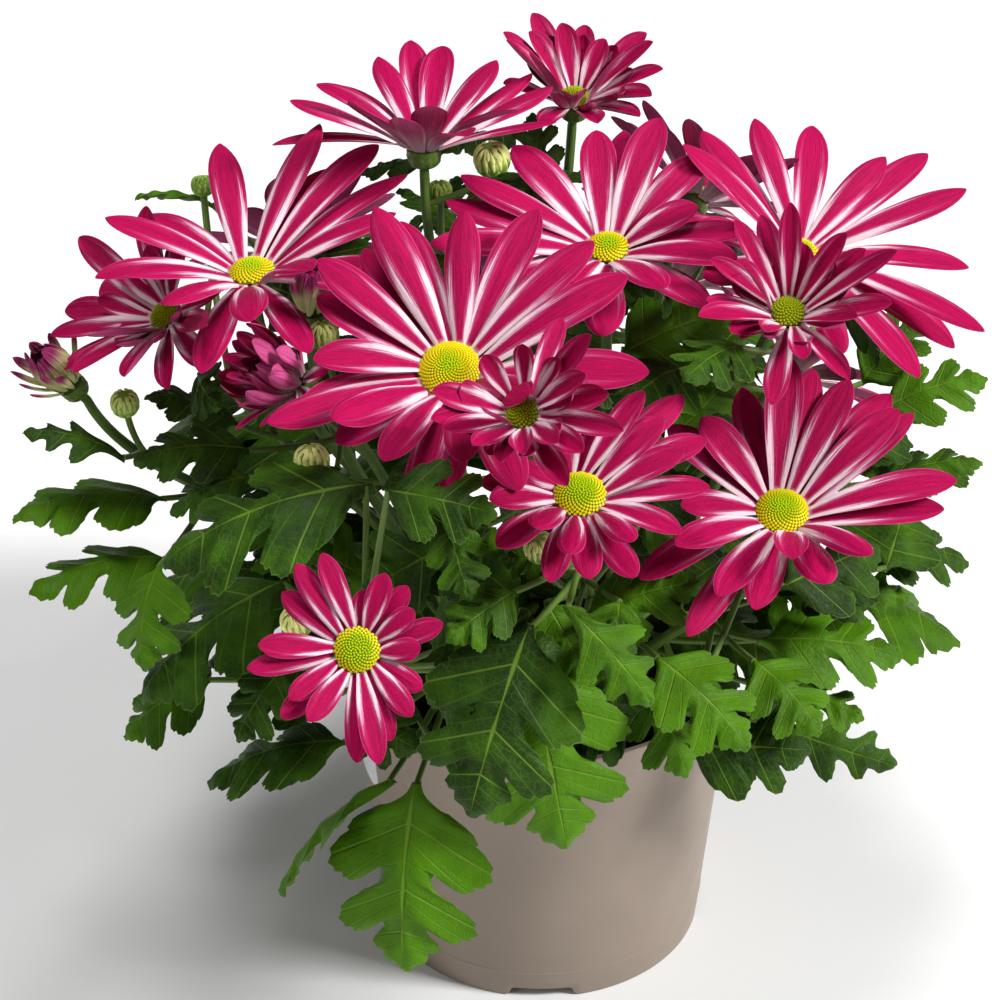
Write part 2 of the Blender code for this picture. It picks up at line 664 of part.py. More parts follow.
def ray_rings(root, tip, axis, half_root, bloom, stops, swell=0.0, start=0.0):
    """Four-cornered sections of a ray from its root, and the two points of its tip."""
    chord = tip - root
    length = chord.length
    ahead = chord / length
    side = axis.cross(ahead)
    if side.length < 0.05:
        side = Vector((1, 0, 0))
    side.normalize()
    over = ahead.cross(side)
    half_depth = RAY_THICKNESS / 2 + swell
    full = bloom.width / 2
    first_along, first_part = stops[0]
    root_half = half_root + (full * first_part - half_root) * start / first_along
    rings = []
    for along, half in ((start, root_half), *((at, full * part) for at, part in stops)):
        half += swell
        centre = root + chord * along + over * (4 * bloom.bow * along * (1 - along) * length)
        slope = ahead + over * (4 * bloom.bow * (1 - 2 * along))
        normal = slope.cross(side).normalized()
        rings.append([
            centre - side * half - normal * half_depth,
            centre + side * half - normal * half_depth,
            centre + side * half + normal * half_depth,
            centre - side * half + normal * half_depth,
        ])
    end = tip + ahead * swell
    normal = (ahead - over * 4 * bloom.bow).cross(side).normalized()
    return rings, (end - normal * half_depth, end + normal * half_depth)


def ray_faces(rings, first):
    """Faces between sections, split alike above and below, up to the pointed tip."""
    faces = []
    for k in range(rings - 1):
        a, b, c, d = (first + 4 * k + i for i in range(4))
        e, f, g, h = (first + 4 * (k + 1) + i for i in range(4))
        faces += [(a, b, f), (a, f, e), (d, c, g), (d, g, h)]
        faces += [(b, c, g), (b, g, f), (a, d, h), (a, h, e)]
    a, b, c, d = (first + 4 * (rings - 1) + i for i in range(4))
    low = first + 4 * rings
    high = low + 1
    faces += [(a, b, low), (d, c, high), (b, c, high), (b, high, low), (a, d, high), (a, high, low)]
    return faces


def loose_ray(rings, tip):
    """A ray by itself, closed at its root, for testing the room round it."""
    points = [corner for ring in rings for corner in ring] + list(tip)
    return points, ray_faces(len(rings), 0) + [(0, 1, 2), (0, 2, 3)]


def clock_angles(bloom):
    """Angle of each ray round the head: those seen first, then the widest gaps filled."""
    middle, axis, right, up = head_frame(bloom)
    angles = []
    for pixel in bloom.tips:
        tip = seen_tips(bloom, pixel, bloom.lift)[0][1]
        arm = tip - middle
        angles.append((math.atan2(arm.dot(up), arm.dot(right)) % math.tau, pixel))
    if not angles:
        angles.append((FIRST_TURN, None))
    while len(angles) < bloom.count:
        angles.sort(key=lambda item: item[0])
        turns = [angle for angle, _ in angles]
        gaps = [(turns[(i + 1) % len(turns)] - turns[i]) % math.tau or math.tau
                for i in range(len(turns))]
        widest = max(range(len(gaps)), key=gaps.__getitem__)
        angles.append(((turns[widest] + gaps[widest] / 2) % math.tau, None))
    return sorted(angles, key=lambda item: item[0])


def seen_tips(bloom, pixel, lift):
    """Places for a tip on its line of sight, the likeliest length and lift first."""
    middle, axis, _, _ = head_frame(bloom)
    ray = sight(*pixel)
    nearest = (middle - EYE).dot(ray)
    options = []
    for step in range(-SIGHT_STEPS, SIGHT_STEPS + 1):
        tip = EYE + ray * (nearest + step * SIGHT_STEP)
        arm = tip - middle
        reach = arm.length
        rise = math.degrees(math.asin(max(-1.0, min(1.0, arm.dot(axis) / reach))))
        if not bloom.lift - MOST_DROOP < rise < min(bloom.lift + MOST_RISE, STEEPEST_RAY):
            continue
        cost = abs(reach / bloom.reach - 1) + DEGREE_COST * abs(rise - lift)
        options.append((cost, tip))
    if not options:
        options.append((0.0, EYE + ray * nearest))
    return sorted(options, key=lambda item: item[0])


def rule_tips(bloom, angle, lift):
    """Places for a tip that the view doesn't show, the nominal one first."""
    middle, axis, right, up = head_frame(bloom)
    options = []
    for change in RULE_LIFTS:
        for swing in RULE_SWINGS:
            for size in RULE_SIZES:
                rise = math.radians(lift + change)
                turn = angle + math.radians(swing)
                flat = right * math.cos(turn) + up * math.sin(turn)
                arm = flat * math.cos(rise) + axis * math.sin(rise)
                cost = DEGREE_COST * (abs(change) + abs(swing)) + (1 - size)
                options.append((cost, middle + arm * bloom.reach * size))
    return sorted(options, key=lambda item: item[0])


def make_rays(bloom, space):
    """Receptacle and rays of one head, in one closed body."""
    middle, axis, right, up = head_frame(bloom)
    slots = bloom.count + bloom.count % 2
    radius = receptacle_radius(bloom)
    layer = RECEPTACLE_LAYER
    stops = RAY_STOPS_LARGE if bloom.tips and bloom.reach > LARGE_REACH else RAY_STOPS_SMALL
    angles = clock_angles(bloom)
    start_turn = mean_offset(angles, slots)
    points = []
    for level in range(3):
        for i in range(slots):
            turn = start_turn + math.tau * (i - 0.5) / slots
            spoke = right * math.cos(turn) + up * math.sin(turn)
            points.append(middle + spoke * radius - axis * layer * (2 - level))
    faces = [tuple(range(slots)), tuple(range(2 * slots, 3 * slots))]
    grown = {}
    own = Space()
    disc = Space()
    if bloom.has_disc:
        disc.add(bloom.name, *disc_shape(bloom))
    half_root = radius * math.sin(math.pi / slots)
    order = sorted(range(len(angles)), key=lambda i: (angles[i][1] is None, i))
    for i in order:
        angle, pixel = angles[i]
        level = 1 - i % 2
        lift = bloom.lift + (LAYER_LIFT if level else -LAYER_LIFT)
        turn = start_turn + math.tau * i / slots
        spoke = right * math.cos(turn) + up * math.sin(turn)
        root = middle + spoke * radius * math.cos(math.pi / slots) - axis * layer * (1.5 - level)
        options = seen_tips(bloom, pixel, lift) if pixel else rule_tips(bloom, angle, lift)
        for _, tip in options:
            slim = loose_ray(*ray_rings(root, tip, axis, half_root, bloom, stops, SLIM_SWELL,
                                        SLIM_START))
            if not own.is_clear(*slim):
                continue
            wide = loose_ray(*ray_rings(root, tip, axis, half_root, bloom, stops, CLEARANCE))
            near = loose_ray(*ray_rings(root, tip, axis, half_root, bloom, stops, SLIM_SWELL))
            if space.is_clear(*wide, skip=(bloom.name,)) and disc.is_clear(*near):
                grown[(i, level)] = ray_rings(root, tip, axis, half_root, bloom, stops)
                own.add(bloom.name, *slim)
                space.add(bloom.name, *wide)
                break
    for level in range(2):
        for i in range(slots):
            low = level * slots
            a, b = low + i, low + (i + 1) % slots
            corners = (a, b, b + slots, a + slots)
            if (i, level) not in grown:
                faces.append(corners)
                continue
            rings, tip = grown[(i, level)]
            first = len(points)
            faces += root_faces(corners, first)
            points += [corner for ring in rings[1:] for corner in ring] + list(tip)
            faces += ray_faces(len(rings) - 1, first)
    name = bloom.name + "_rays"
    return add_object(name, points, faces, finish("ray florets", "rays", 0.5))


def mean_offset(angles, slots):
    """The turn of the first slot that suits the rays' angles best."""
    sine = sum(math.sin(angle - math.tau * i / slots) for i, (angle, _) in enumerate(angles))
    cosine = sum(math.cos(angle - math.tau * i / slots) for i, (angle, _) in enumerate(angles))
    return math.atan2(sine, cosine)


def root_faces(corners, first):
    """Faces from a receptacle facet to the first section of its ray."""
    a, b, c, d = corners
    e, f, g, h = (first + i for i in range(4))
    faces = [(a, b, f), (a, f, e), (d, c, g), (d, g, h)]
    faces += [(b, c, g), (b, g, f), (a, d, h), (a, h, e)]
    return faces


def disc_shape(bloom):
    """Low dome of disc florets, its surface in alternate bumps."""
    middle, axis, right, up = head_frame(bloom)
    radius = bloom.head * (DISC_WIDTH_OPEN if bloom.lift < OPEN_LIFT else DISC_WIDTH_CUPPED)
    height = bloom.head * DISC_DOME
    points = []
    for part, rise, relief in ((0.90, SEAT_GAP, 0), (1.0, height * 0.55, 1), (0.52, height, -1)):
        for i in range(DISC_SIDES):
            turn = math.tau * (i + 0.5 * (relief < 0)) / DISC_SIDES
            spoke = right * math.cos(turn) + up * math.sin(turn)
            bump = DISC_RELIEF * (1 if i % 2 else -1) * abs(relief)
            points.append(middle + spoke * radius * part + axis * (rise + bump))
    points.append(middle + axis * (height * 0.92))
    n = DISC_SIDES
    faces = [tuple(range(n))]
    for k in range(2):
        for i in range(n):
            j = (i + 1) % n
            faces += [(k * n + i, k * n + j, k * n + n + j), (k * n + i, k * n + n + j, k * n + n + i)]
    faces += [(2 * n + i, 2 * n + (i + 1) % n, 3 * n) for i in range(n)]
    return points, faces


def leaf_pattern(half):
    """Flat outline of a blade with its midrib, cut into triangles once for both faces."""
    left = [(-x, y) for x, y in half]
    right = [(x, y) for x, y in reversed(half)]
    outline = [(-LEAF_NECK, 0.0)] + left + [(0.0, 1.0)] + right + [(LEAF_NECK, 0.0)]
    ribs = [(0.0, stop) for stop in MIDRIB_STOPS]
    flat = [Vector(point) for point in outline + ribs]
    n = len(outline)
    edges = [(i, (i + 1) % n) for i in range(n)]
    spine = [n + i for i in range(len(ribs))] + [len(half) + 1]
    edges += list(zip(spine, spine[1:]))
    _, _, triangles, _, _, _ = delaunay_2d_cdt(flat, edges, [list(range(n))], 1, 1e-6)
    return outline + ribs, n, [tuple(triangle) for triangle in triangles]


def leaf_frame(leaf, slide, roll, size):
    """Base, tip and facing of a blade after it slides along its line of sight."""
    base = seen_point(leaf.base, leaf.depths[0])
    tip = seen_point(leaf.tip, leaf.depths[1])
    middle = base.lerp(tip, 0.5)
    shift = (middle - EYE).normalized() * slide
    base = base + shift
    tip = base + (tip + shift - base) * size
    return blade_frame(base, tip, leaf.roll + roll)


def blade_frame(base, tip, roll):
    """Base, tip and normal of a blade that looks up and away from the pot's axis."""
    along = (tip - base).normalized()
    middle = base.lerp(tip, 0.5)
    outward = Vector((middle.x, middle.y, 0)).normalized()
    face = outward.lerp(Vector((0, 0, 1)), BLADE_UPRIGHT)
    normal = (face - along * face.dot(along)).normalized()
    normal = Matrix.Rotation(math.radians(roll), 3, along) @ normal
    return base, tip, normal


def leaf_shape(pattern, frame, start, width, swell=0.0):
    """Points and faces of a leaf: petiole from its branch, then the arched blade."""
    flat, n, triangles = pattern
    base, tip, normal = frame
    chord = tip - base
    length = chord.length
    ahead = chord / length
    side = ahead.cross(normal)
    tops = []
    bottoms = []
    for x, y in flat:
        arch = 4 * LEAF_ARCH * y * (1 - y) * length
        fold = -LEAF_FOLD * abs(x) * width * length
        middle = base + chord * y + side * (x * width * length) + normal * (arch + fold)
        slope = (ahead + normal * (4 * LEAF_ARCH * (1 - 2 * y))).normalized()
        facing = side.cross(slope)
        half = LEAF_THICKNESS / 2 + swell
        spread = side * math.copysign(swell, x) if x else Vector((0, 0, 0))
        tops.append(middle + facing * half + spread)
        bottoms.append(middle - facing * half + spread)
    points = tops + bottoms
    count = len(flat)
    faces = list(triangles) + [tuple(i + count for i in triangle) for triangle in triangles]
    for i in range(n - 1):
        faces += [(i, i + 1, i + 1 + count), (i, i + 1 + count, i + count)]
    # The neck is the edge between the last and the first outline point
    ring = [n - 1, 0, count, count + n - 1]
    leaning = (base - start).normalized()
    over = side.cross(leaning)
    over = over.normalized() if over.length > 0.1 else normal
    wide = leaning.cross(over) * (PETIOLE_HALF_WIDTH + swell)
    deep = over * (PETIOLE_HALF_DEPTH + swell)
    if wide.dot(side) < 0:
        wide = -wide
    foot = list(range(len(points), len(points) + 4))
    points += [start + wide + deep, start - wide + deep, start - wide - deep, start + wide - deep]
    for i in range(4):
        j = (i + 1) % 4
        faces += [(ring[i], ring[j], foot[j]), (ring[i], foot[j], foot[i])]
    faces += [(foot[0], foot[1], foot[2]), (foot[0], foot[2], foot[3])]
    return points, faces


def tier_leaves():
    """Bases and tips of the leaves that the view hides, tier by tier."""
    ends = []
    for count, first, last, base_radius, base_height, tip_radius, tip_height in TIERS:
        for i in range(count):
            turn = math.radians(first + (last - first) * i / (count - 1))
            swing = math.radians(TIER_SWING if i % 2 else -TIER_SWING)
            base = polar(base_radius, turn, base_height + TIER_STAGGER * (i % 3))
            tip = polar(tip_radius, turn + swing, tip_height - TIER_STAGGER * (i % 2))
            ends.append((base, tip))
    return ends


def leaf_choices(leaf):
    """Frames of a seen leaf, the nominal one first."""
    for size in LEAF_SIZES:
        for roll in LEAF_ROLLS:
            for slide in LEAF_SLIDES:
                yield leaf_frame(leaf, slide, roll, size)


def tier_choices(base, tip):
    """Frames of a leaf in a tier, the nominal one first."""
    for size in LEAF_SIZES:
        for roll in LEAF_ROLLS:
            for slide in LEAF_SLIDES:
                shift = Vector((0, 0, slide))
                end = base + (tip - base) * size
                yield blade_frame(base + shift, end + shift, roll)


def place_leaf(choices, pattern, width, starts, space, blades):
    """The first choice of a leaf whose blade is clear of all that stands there."""
    for frame in choices:
        start, plant = nearest_branch(frame[0], starts)
        points, faces = leaf_shape(pattern, frame, start, width, CLEARANCE)
        blade = (points, faces[:-PETIOLE_FACES])
        if (blades.is_clear(*blade) and space.is_clear(*blade)
                and space.is_clear(points, faces, skip=(plant,))):
            blades.add(plant, *blade)
            space.add(plant, points, faces)
            return leaf_shape(pattern, frame, start, width), plant
    return None


def nearest_branch(base, starts):
    """The branch point that carries a leaf, and the plant it belongs to."""
    place = base - Vector((0, 0, PETIOLE_DROP))
    nearest = {plant: nearest_start(place, points) for plant, points in starts.items()}

    def cost(plant):
        return (nearest[plant] - place).length

    plant = min(nearest, key=cost)
    return nearest[plant], plant


def join_plant(number, pieces):
    """Fuse a cutting's stem, branches, buds and leaves into one body."""
    material = finish("leaf green", "plant", 0.5)
    group = bpy.data.collections.new("growth")
    bpy.context.scene.collection.children.link(group)
    (points, faces), *others = pieces
    plant = add_object("leafy_stem_%d" % number, points, faces, material)
    for points, faces in others:
        add_object("growth", points, faces, material, group)
    boolean = plant.modifiers.new("join", "BOOLEAN")
    boolean.operation = "UNION"
    boolean.operand_type = "COLLECTION"
    boolean.collection = group
    boolean.solver = "MANIFOLD"
    apply_modifiers(plant)
    for thing in list(group.objects):
        bpy.data.objects.remove(thing)
    bpy.data.collections.remove(group)
    merge_flat_faces(plant)
    return plant


def merge_flat_faces(thing):
    """Merge the flat faces that fusing has split, and cut them into triangles again."""
    shape = bmesh.new()
    shape.from_mesh(thing.data)
    bmesh.ops.dissolve_limit(shape, angle_limit=FLAT_ANGLE, verts=shape.verts, edges=shape.edges)
    bmesh.ops.triangulate(shape, faces=shape.faces)
    shape.to_mesh(thing.data)
    shape.free()


def build():
    """The whole part, from the pot up."""
    clear_scene()
    space = Space()
    for thing in (make_pot(), make_soil()):
        space.add(thing.name, [v.co for v in thing.data.vertices],
                  [tuple(face.vertices) for face in thing.data.polygons])

    pieces = {}
    starts = {}
    for plant, (x, y) in PLANTS.items():
        foot = Vector((x, y, HOLE_BOTTOM + SEAT_GAP))
        top = Vector((x, y, MAIN_STEM_TOP))
        waist = Vector((x, y, SOIL_LEVEL))
        radii = (MAIN_STEM_RADIUS, MAIN_STEM_RADIUS, MAIN_STEM_RADIUS * 0.9)
        pieces[plant] = [tube((foot, waist, top), radii, STEM_SIDES)]
        starts[plant] = []
        space.add(plant, *pieces[plant][0])
    for bloom in BLOOMS:
        shape = branch_tube(bloom)
        pieces[bloom.plant].append(shape)
        space.add(bloom.plant, *shape)
        path = branch_path(bloom)
        for low, high in zip(path, path[1:]):
            starts[bloom.plant] += [low.lerp(high, t) for t in (0.0, 0.25, 0.5, 0.75)]
    for bud in BUDS:
        shape = bud_tube(bud, starts[bud.plant])
        pieces[bud.plant].append(shape)
        space.add(bud.plant, *shape)

    for bloom in BLOOMS:
        if bloom.has_disc:
            shape = disc_shape(bloom)
            add_object(bloom.name + "_disc", *shape, finish("disc florets", "disc", 0.6))
            space.add(bloom.name, *shape)
    for bloom in BLOOMS:
        make_rays(bloom, space)

    patterns = {"broad": leaf_pattern(BROAD_HALF), "narrow": leaf_pattern(NARROW_HALF)}
    plans = [(leaf_choices(leaf), leaf.kind, leaf.width) for leaf in LEAVES]
    plans += [(tier_choices(base, tip), "broad", TIER_WIDTH) for base, tip in tier_leaves()]
    blades = Space()
    for choices, kind, width in plans:
        placed = place_leaf(choices, patterns[kind], width, starts, space, blades)
        if placed:
            shape, plant = placed
            pieces[plant].append(shape)
    for plant, parts in pieces.items():
        join_plant(plant, parts)


build()
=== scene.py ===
import math

import bpy
import numpy as np
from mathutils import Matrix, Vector
from mathutils.bvhtree import BVHTree
from mathutils.kdtree import KDTree


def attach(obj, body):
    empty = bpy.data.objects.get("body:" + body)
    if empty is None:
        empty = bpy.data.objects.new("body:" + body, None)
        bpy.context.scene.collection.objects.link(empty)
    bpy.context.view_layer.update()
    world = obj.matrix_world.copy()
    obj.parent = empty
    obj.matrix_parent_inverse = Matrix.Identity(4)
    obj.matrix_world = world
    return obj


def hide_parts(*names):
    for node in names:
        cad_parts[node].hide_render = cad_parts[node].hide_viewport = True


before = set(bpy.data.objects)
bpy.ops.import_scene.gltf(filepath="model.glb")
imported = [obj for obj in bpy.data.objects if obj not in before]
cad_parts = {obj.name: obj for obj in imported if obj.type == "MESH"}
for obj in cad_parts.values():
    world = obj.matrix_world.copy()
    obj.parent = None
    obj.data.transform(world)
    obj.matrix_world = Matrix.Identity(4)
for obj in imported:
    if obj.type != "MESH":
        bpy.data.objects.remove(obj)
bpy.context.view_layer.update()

chance = np.random.default_rng(11)

# The pot
# A 12 cm grower's pot, moulded in one piece from taupe polypropylene. The wall tapers to
# a foot ring with four notches, a thicker band stiffens the rim, and four drain holes go
# through a raised channel in the floor.
POT_HEIGHT = 0.098
POT_BASE_RADIUS = 0.050
POT_TAPER = 0.0935
POT_WALL = 0.0013
RIM_BAND_HEIGHT = 0.009
RIM_BAND_STEP = 0.0008
FOOT_WIDTH = 0.004
FLOOR_TOP = 0.0055
CHANNEL_DEPTH = 0.0035
CHANNEL_INNER_RADIUS = 0.022
CHANNEL_OUTER_RADIUS = 0.0445
NOTCH_TOP_HALF = 0.0090
NOTCH_FOOT_HALF = 0.01075
NOTCH_HEIGHT = 0.0033
NOTCH_COUNT = 4
FOOT_ZONE = 0.006
RING_LINE_HEIGHT = 0.0100
RING_LINE_RISE = 0.00018
EDGE_ROUNDING = 0.0005
DRAIN_RADIUS = 0.0045
DRAIN_CIRCLE_RADIUS = 0.034
DRAIN_COUNT = 4
DRAIN_COLUMNS = 40
DRAIN_CUT = (-0.001, 0.008)
PROFILE_START = 0.004
POT_COLUMNS = 240
# The plain white label near the pot's left edge: turns in degrees, and heights
LABEL_TURNS = (152.0, 207.0)
LABEL_HEIGHTS = (0.061, 0.086)
LABEL_COLUMNS = 24
LABEL_ROWS = 8
LABEL_THICKNESS = 0.00015
LABEL_LIFT = 0.00003
LABEL_WHITE = (0.72, 0.73, 0.76)
TAUPE = (0.285, 0.224, 0.176)
TAUPE_DARK = (0.255, 0.200, 0.157)
SPECK_BROWN = (0.060, 0.045, 0.035)


def skins(rings):
    """Closed skins over stacks of rings, one stack for each copy. The array is copies by
    rows by places round the ring by values, and the first three values are the point. Quads
    join neighbouring rows, and a fan closes each end at the mean of its ring."""
    copies, rows, around, _ = rings.shape
    each = rows * around + 2
    index = np.arange(rows * around).reshape(rows, around)
    beside = np.roll(index, -1, axis=1)
    quads = np.stack([index[:-1], beside[:-1], beside[1:], index[1:]], axis=-1).reshape(-1, 4)
    first = np.stack([beside[0], index[0], np.full(around, each - 2)], axis=-1)
    last = np.stack([index[-1], beside[-1], np.full(around, each - 1)], axis=-1)
    fans = np.concatenate([first, last])
    poles = [rings[:, 0].mean(axis=1, keepdims=True), rings[:, -1].mean(axis=1, keepdims=True)]
    points = np.concatenate([rings.reshape(copies, rows * around, -1), *poles], axis=1)
    step = (np.arange(copies) * each)[:, None, None]
    quads = (quads + step).reshape(-1, 4)
    fans = (fans + step).reshape(-1, 3)
    points = points.reshape(copies * each, -1)
    corners = np.concatenate([quads[:, :3], quads[:, [0, 2, 3]], fans])
    a, b, c = (points[corners[:, i], :3] for i in range(3))
    if np.einsum("ij,ij->i", a, np.cross(b, c)).sum() < 0:
        quads = quads[:, ::-1]
        fans = fans[:, ::-1]
    return points, quads, fans


def make_piece(name, groups, values, finish, nodes, crease=60):
    """One object from groups of ring stacks. Values after the first three become named
    attributes of the points. The piece rides on the plant and stands for the nodes."""
    points = []
    faces = []
    total = 0
    for rings in groups:
        places, quads, fans = skins(rings)
        faces += (quads + total).tolist() + (fans + total).tolist()
        points.append(places)
        total += len(places)
    points = np.concatenate(points)
    mesh = bpy.data.meshes.new(name)
    mesh.from_pydata(points[:, :3].tolist(), [], faces)
    for k, value in enumerate(values):
        attribute = mesh.attributes.new(value, "FLOAT", "POINT")
        attribute.data.foreach_set("value", points[:, 3 + k].astype(np.float32))
    mesh.shade_smooth()
    mesh.set_sharp_from_angle(angle=math.radians(crease))
    mesh.materials.append(finish)
    thing = bpy.data.objects.new(name, mesh)
    bpy.context.scene.collection.objects.link(thing)
    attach(thing, "root")
    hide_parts(*nodes)
    return thing


def new_finish(name, roughness):
    """A material with its node tree and its surface shader."""
    finish = bpy.data.materials.new(name)
    finish.use_nodes = True
    surface = finish.node_tree.nodes["Principled BSDF"]
    surface.inputs["Roughness"].default_value = roughness
    return finish, finish.node_tree, surface


def add_node(tree, kind, inputs=None, **settings):
    """A node with its settings, its inputs filled from sockets or plain values."""
    made = tree.nodes.new(kind)
    for key, value in settings.items():
        setattr(made, key, value)
    for key, value in (inputs or {}).items():
        if isinstance(value, bpy.types.NodeSocket):
            tree.links.new(value, made.inputs[key])
        else:
            made.inputs[key].default_value = value
    return made


def point_values(tree, *names):
    """The named values of a mesh's points, as sockets."""
    return [add_node(tree, "ShaderNodeAttribute", attribute_name=name).outputs["Fac"]
            for name in names]


def reckon(tree, operation, first, second=0.0):
    """The result of one sum on two sockets or numbers."""
    return add_node(tree, "ShaderNodeMath", {0: first, 1: second}, operation=operation).outputs[0]


def ramp(tree, value, low, high, start=0.0, end=1.0):
    """A smooth step from start to end while the value goes from low to high."""
    inputs = {"Value": value, "From Min": low, "From Max": high, "To Min": start, "To Max": end}
    made = add_node(tree, "ShaderNodeMapRange", inputs, interpolation_type="SMOOTHSTEP")
    return made.outputs["Result"]


def blend_colours(tree, amount, first, second):
    """The first colour where the amount is 0, the second where it is 1."""
    made = add_node(tree, "ShaderNodeMix", data_type="RGBA")
    for key, value in (("Factor", amount), ("A", first), ("B", second)):
        socket = next(s for s in made.inputs if s.name == key and s.enabled)
        if isinstance(value, bpy.types.NodeSocket):
            tree.links.new(value, socket)
        elif isinstance(value, tuple):
            socket.default_value = (*value, 1.0)
        else:
            socket.default_value = value
    return next(s for s in made.outputs if s.enabled)


def mottle(tree, scale, detail=4.0, roughness=0.55, stretch=None):
    """Cloudy noise on the object's own coordinates, stretched along an axis if asked."""
    place = add_node(tree, "ShaderNodeTexCoord").outputs["Object"]
    if stretch:
        place = add_node(tree, "ShaderNodeMapping", {"Vector": place, "Scale": stretch}).outputs[0]
    inputs = {"Vector": place, "Scale": scale, "Detail": detail, "Roughness": roughness}
    return add_node(tree, "ShaderNodeTexNoise", inputs).outputs["Fac"]


def bumped(tree, surface, height, strength, distance):
    """Relief from a height socket on the surface shader."""
    inputs = {"Height": height, "Strength": strength, "Distance": distance}
    made = add_node(tree, "ShaderNodeBump", inputs)
    tree.links.new(made.outputs["Normal"], surface.inputs["Normal"])


def full_turn(count):
    """Evenly spread angles of one full turn."""
    return np.linspace(0, math.tau, count, endpoint=False)


def wall_radius(height):
    """Radius of the pot's outer wall."""
    return POT_BASE_RADIUS + POT_TAPER * height


def rounded(corners, radius, steps=4):
    """Profile through corners, each one turned into a quadratic arc between two points at
    most a radius away on its two sides."""
    corners = np.array(corners)
    profile = [corners[:1]]
    t = np.linspace(0, 1, steps)[:, None]
    for before, corner, after in zip(corners, corners[1:], corners[2:]):
        ends = []
        for other in (before, after):
            side = other - corner
            length = np.linalg.norm(side)
            ends.append(corner + side / length * min(radius, 0.45 * length))
        profile.append(ends[0] * (1 - t) ** 2 + corner * 2 * t * (1 - t) + ends[1] * t ** 2)
    profile.append(corners[-1:])
    return np.concatenate(profile)


def pot_rings():
    """The profile turned round Z. Near the foot the heights are squeezed upwards inside a
    notch: height becomes lift + height * (zone - lift) / zone."""
    band = POT_HEIGHT - RIM_BAND_HEIGHT
    line = RING_LINE_HEIGHT
    profile = rounded((
        (PROFILE_START, FLOOR_TOP),
        (wall_radius(FLOOR_TOP) - POT_WALL, FLOOR_TOP),
        (wall_radius(POT_HEIGHT) - POT_WALL, POT_HEIGHT),
        (wall_radius(POT_HEIGHT) + RIM_BAND_STEP, POT_HEIGHT),
        (wall_radius(band) + RIM_BAND_STEP, band),
        (wall_radius(band), band - RIM_BAND_STEP),
        (wall_radius(line), line + RING_LINE_RISE * 2),
        (wall_radius(line) + RING_LINE_RISE, line),
        (wall_radius(line), line - RING_LINE_RISE * 2),
        (wall_radius(FOOT_ZONE), FOOT_ZONE),
        (POT_BASE_RADIUS, 0),
        (POT_BASE_RADIUS - FOOT_WIDTH, 0),
        (CHANNEL_OUTER_RADIUS, CHANNEL_DEPTH),
        (CHANNEL_INNER_RADIUS + RIM_BAND_STEP, CHANNEL_DEPTH),
        (CHANNEL_INNER_RADIUS, 0),
        (PROFILE_START, 0),
    ), EDGE_ROUNDING)
    turn = full_turn(POT_COLUMNS)
    radius = profile[:, :1] + 0 * turn
    height = profile[:, 1:] + 0 * turn
    share = math.tau / NOTCH_COUNT
    from_notch = (turn + math.pi / 2 + share / 2) % share - share / 2
    edge = np.abs(from_notch) * POT_BASE_RADIUS
    lift = NOTCH_HEIGHT * np.clip((NOTCH_FOOT_HALF - edge) / (NOTCH_FOOT_HALF - NOTCH_TOP_HALF), 0, 1)
    at_foot = (radius > CHANNEL_OUTER_RADIUS) & (height < FOOT_ZONE)
    squeezed = lift + height * (FOOT_ZONE - lift) / FOOT_ZONE
    height = np.where(at_foot, squeezed, height)
    return np.stack([radius * np.cos(turn), radius * np.sin(turn), height], axis=-1)[None]


def pot_finish():
    """Satin plastic with faint clouds, a few dark specks and a soft grain."""
    finish, tree, surface = new_finish("taupe pot plastic", 0.42)
    clouds = mottle(tree, 22.0)
    colour = blend_colours(tree, ramp(tree, clouds, 0.35, 0.70), TAUPE_DARK, TAUPE)
    cells = add_node(tree, "ShaderNodeTexVoronoi", {"Scale": 55.0, "Randomness": 1.0})
    place = add_node(tree, "ShaderNodeTexCoord").outputs["Object"]
    tree.links.new(place, cells.inputs["Vector"])
    specks = ramp(tree, cells.outputs["Distance"], 0.012, 0.022, 0.8, 0.0)
    colour = blend_colours(tree, specks, colour, SPECK_BROWN)
    tree.links.new(colour, surface.inputs["Base Color"])
    tree.links.new(ramp(tree, mottle(tree, 60.0), 0.3, 0.7, 0.38, 0.50), surface.inputs["Roughness"])
    bumped(tree, surface, mottle(tree, 900.0, 2.0), 0.10, 0.0003)
    return finish


def drill(thing, turns):
    """Cuts the round drain holes through the floor of the pot."""
    angle = full_turn(DRAIN_COLUMNS)
    cutters = []
    for turn in turns:
        x = DRAIN_CIRCLE_RADIUS * math.cos(turn) + DRAIN_RADIUS * np.cos(angle)
        y = DRAIN_CIRCLE_RADIUS * math.sin(turn) + DRAIN_RADIUS * np.sin(angle)
        rings = [np.stack([x, y, np.full(DRAIN_COLUMNS, height)], axis=-1) for height in DRAIN_CUT]
        points, quads, fans = skins(np.array(rings)[None])
        mesh = bpy.data.meshes.new("drill")
        mesh.from_pydata(points.tolist(), [], quads.tolist() + fans.tolist())
        cutters.append(bpy.data.objects.new("drill", mesh))
    group = bpy.data.collections.new("drills")
    bpy.context.scene.collection.children.link(group)
    for cutter in cutters:
        group.objects.link(cutter)
    cut = thing.modifiers.new("drain holes", "BOOLEAN")
    cut.operation = "DIFFERENCE"
    cut.operand_type = "COLLECTION"
    cut.collection = group
    cut.solver = "EXACT"
    mesh = bpy.data.meshes.new_from_object(thing.evaluated_get(bpy.context.evaluated_depsgraph_get()))
    thing.modifiers.clear()
    thing.data = mesh
    for cutter in cutters:
        bpy.data.objects.remove(cutter)
    bpy.data.collections.remove(group)


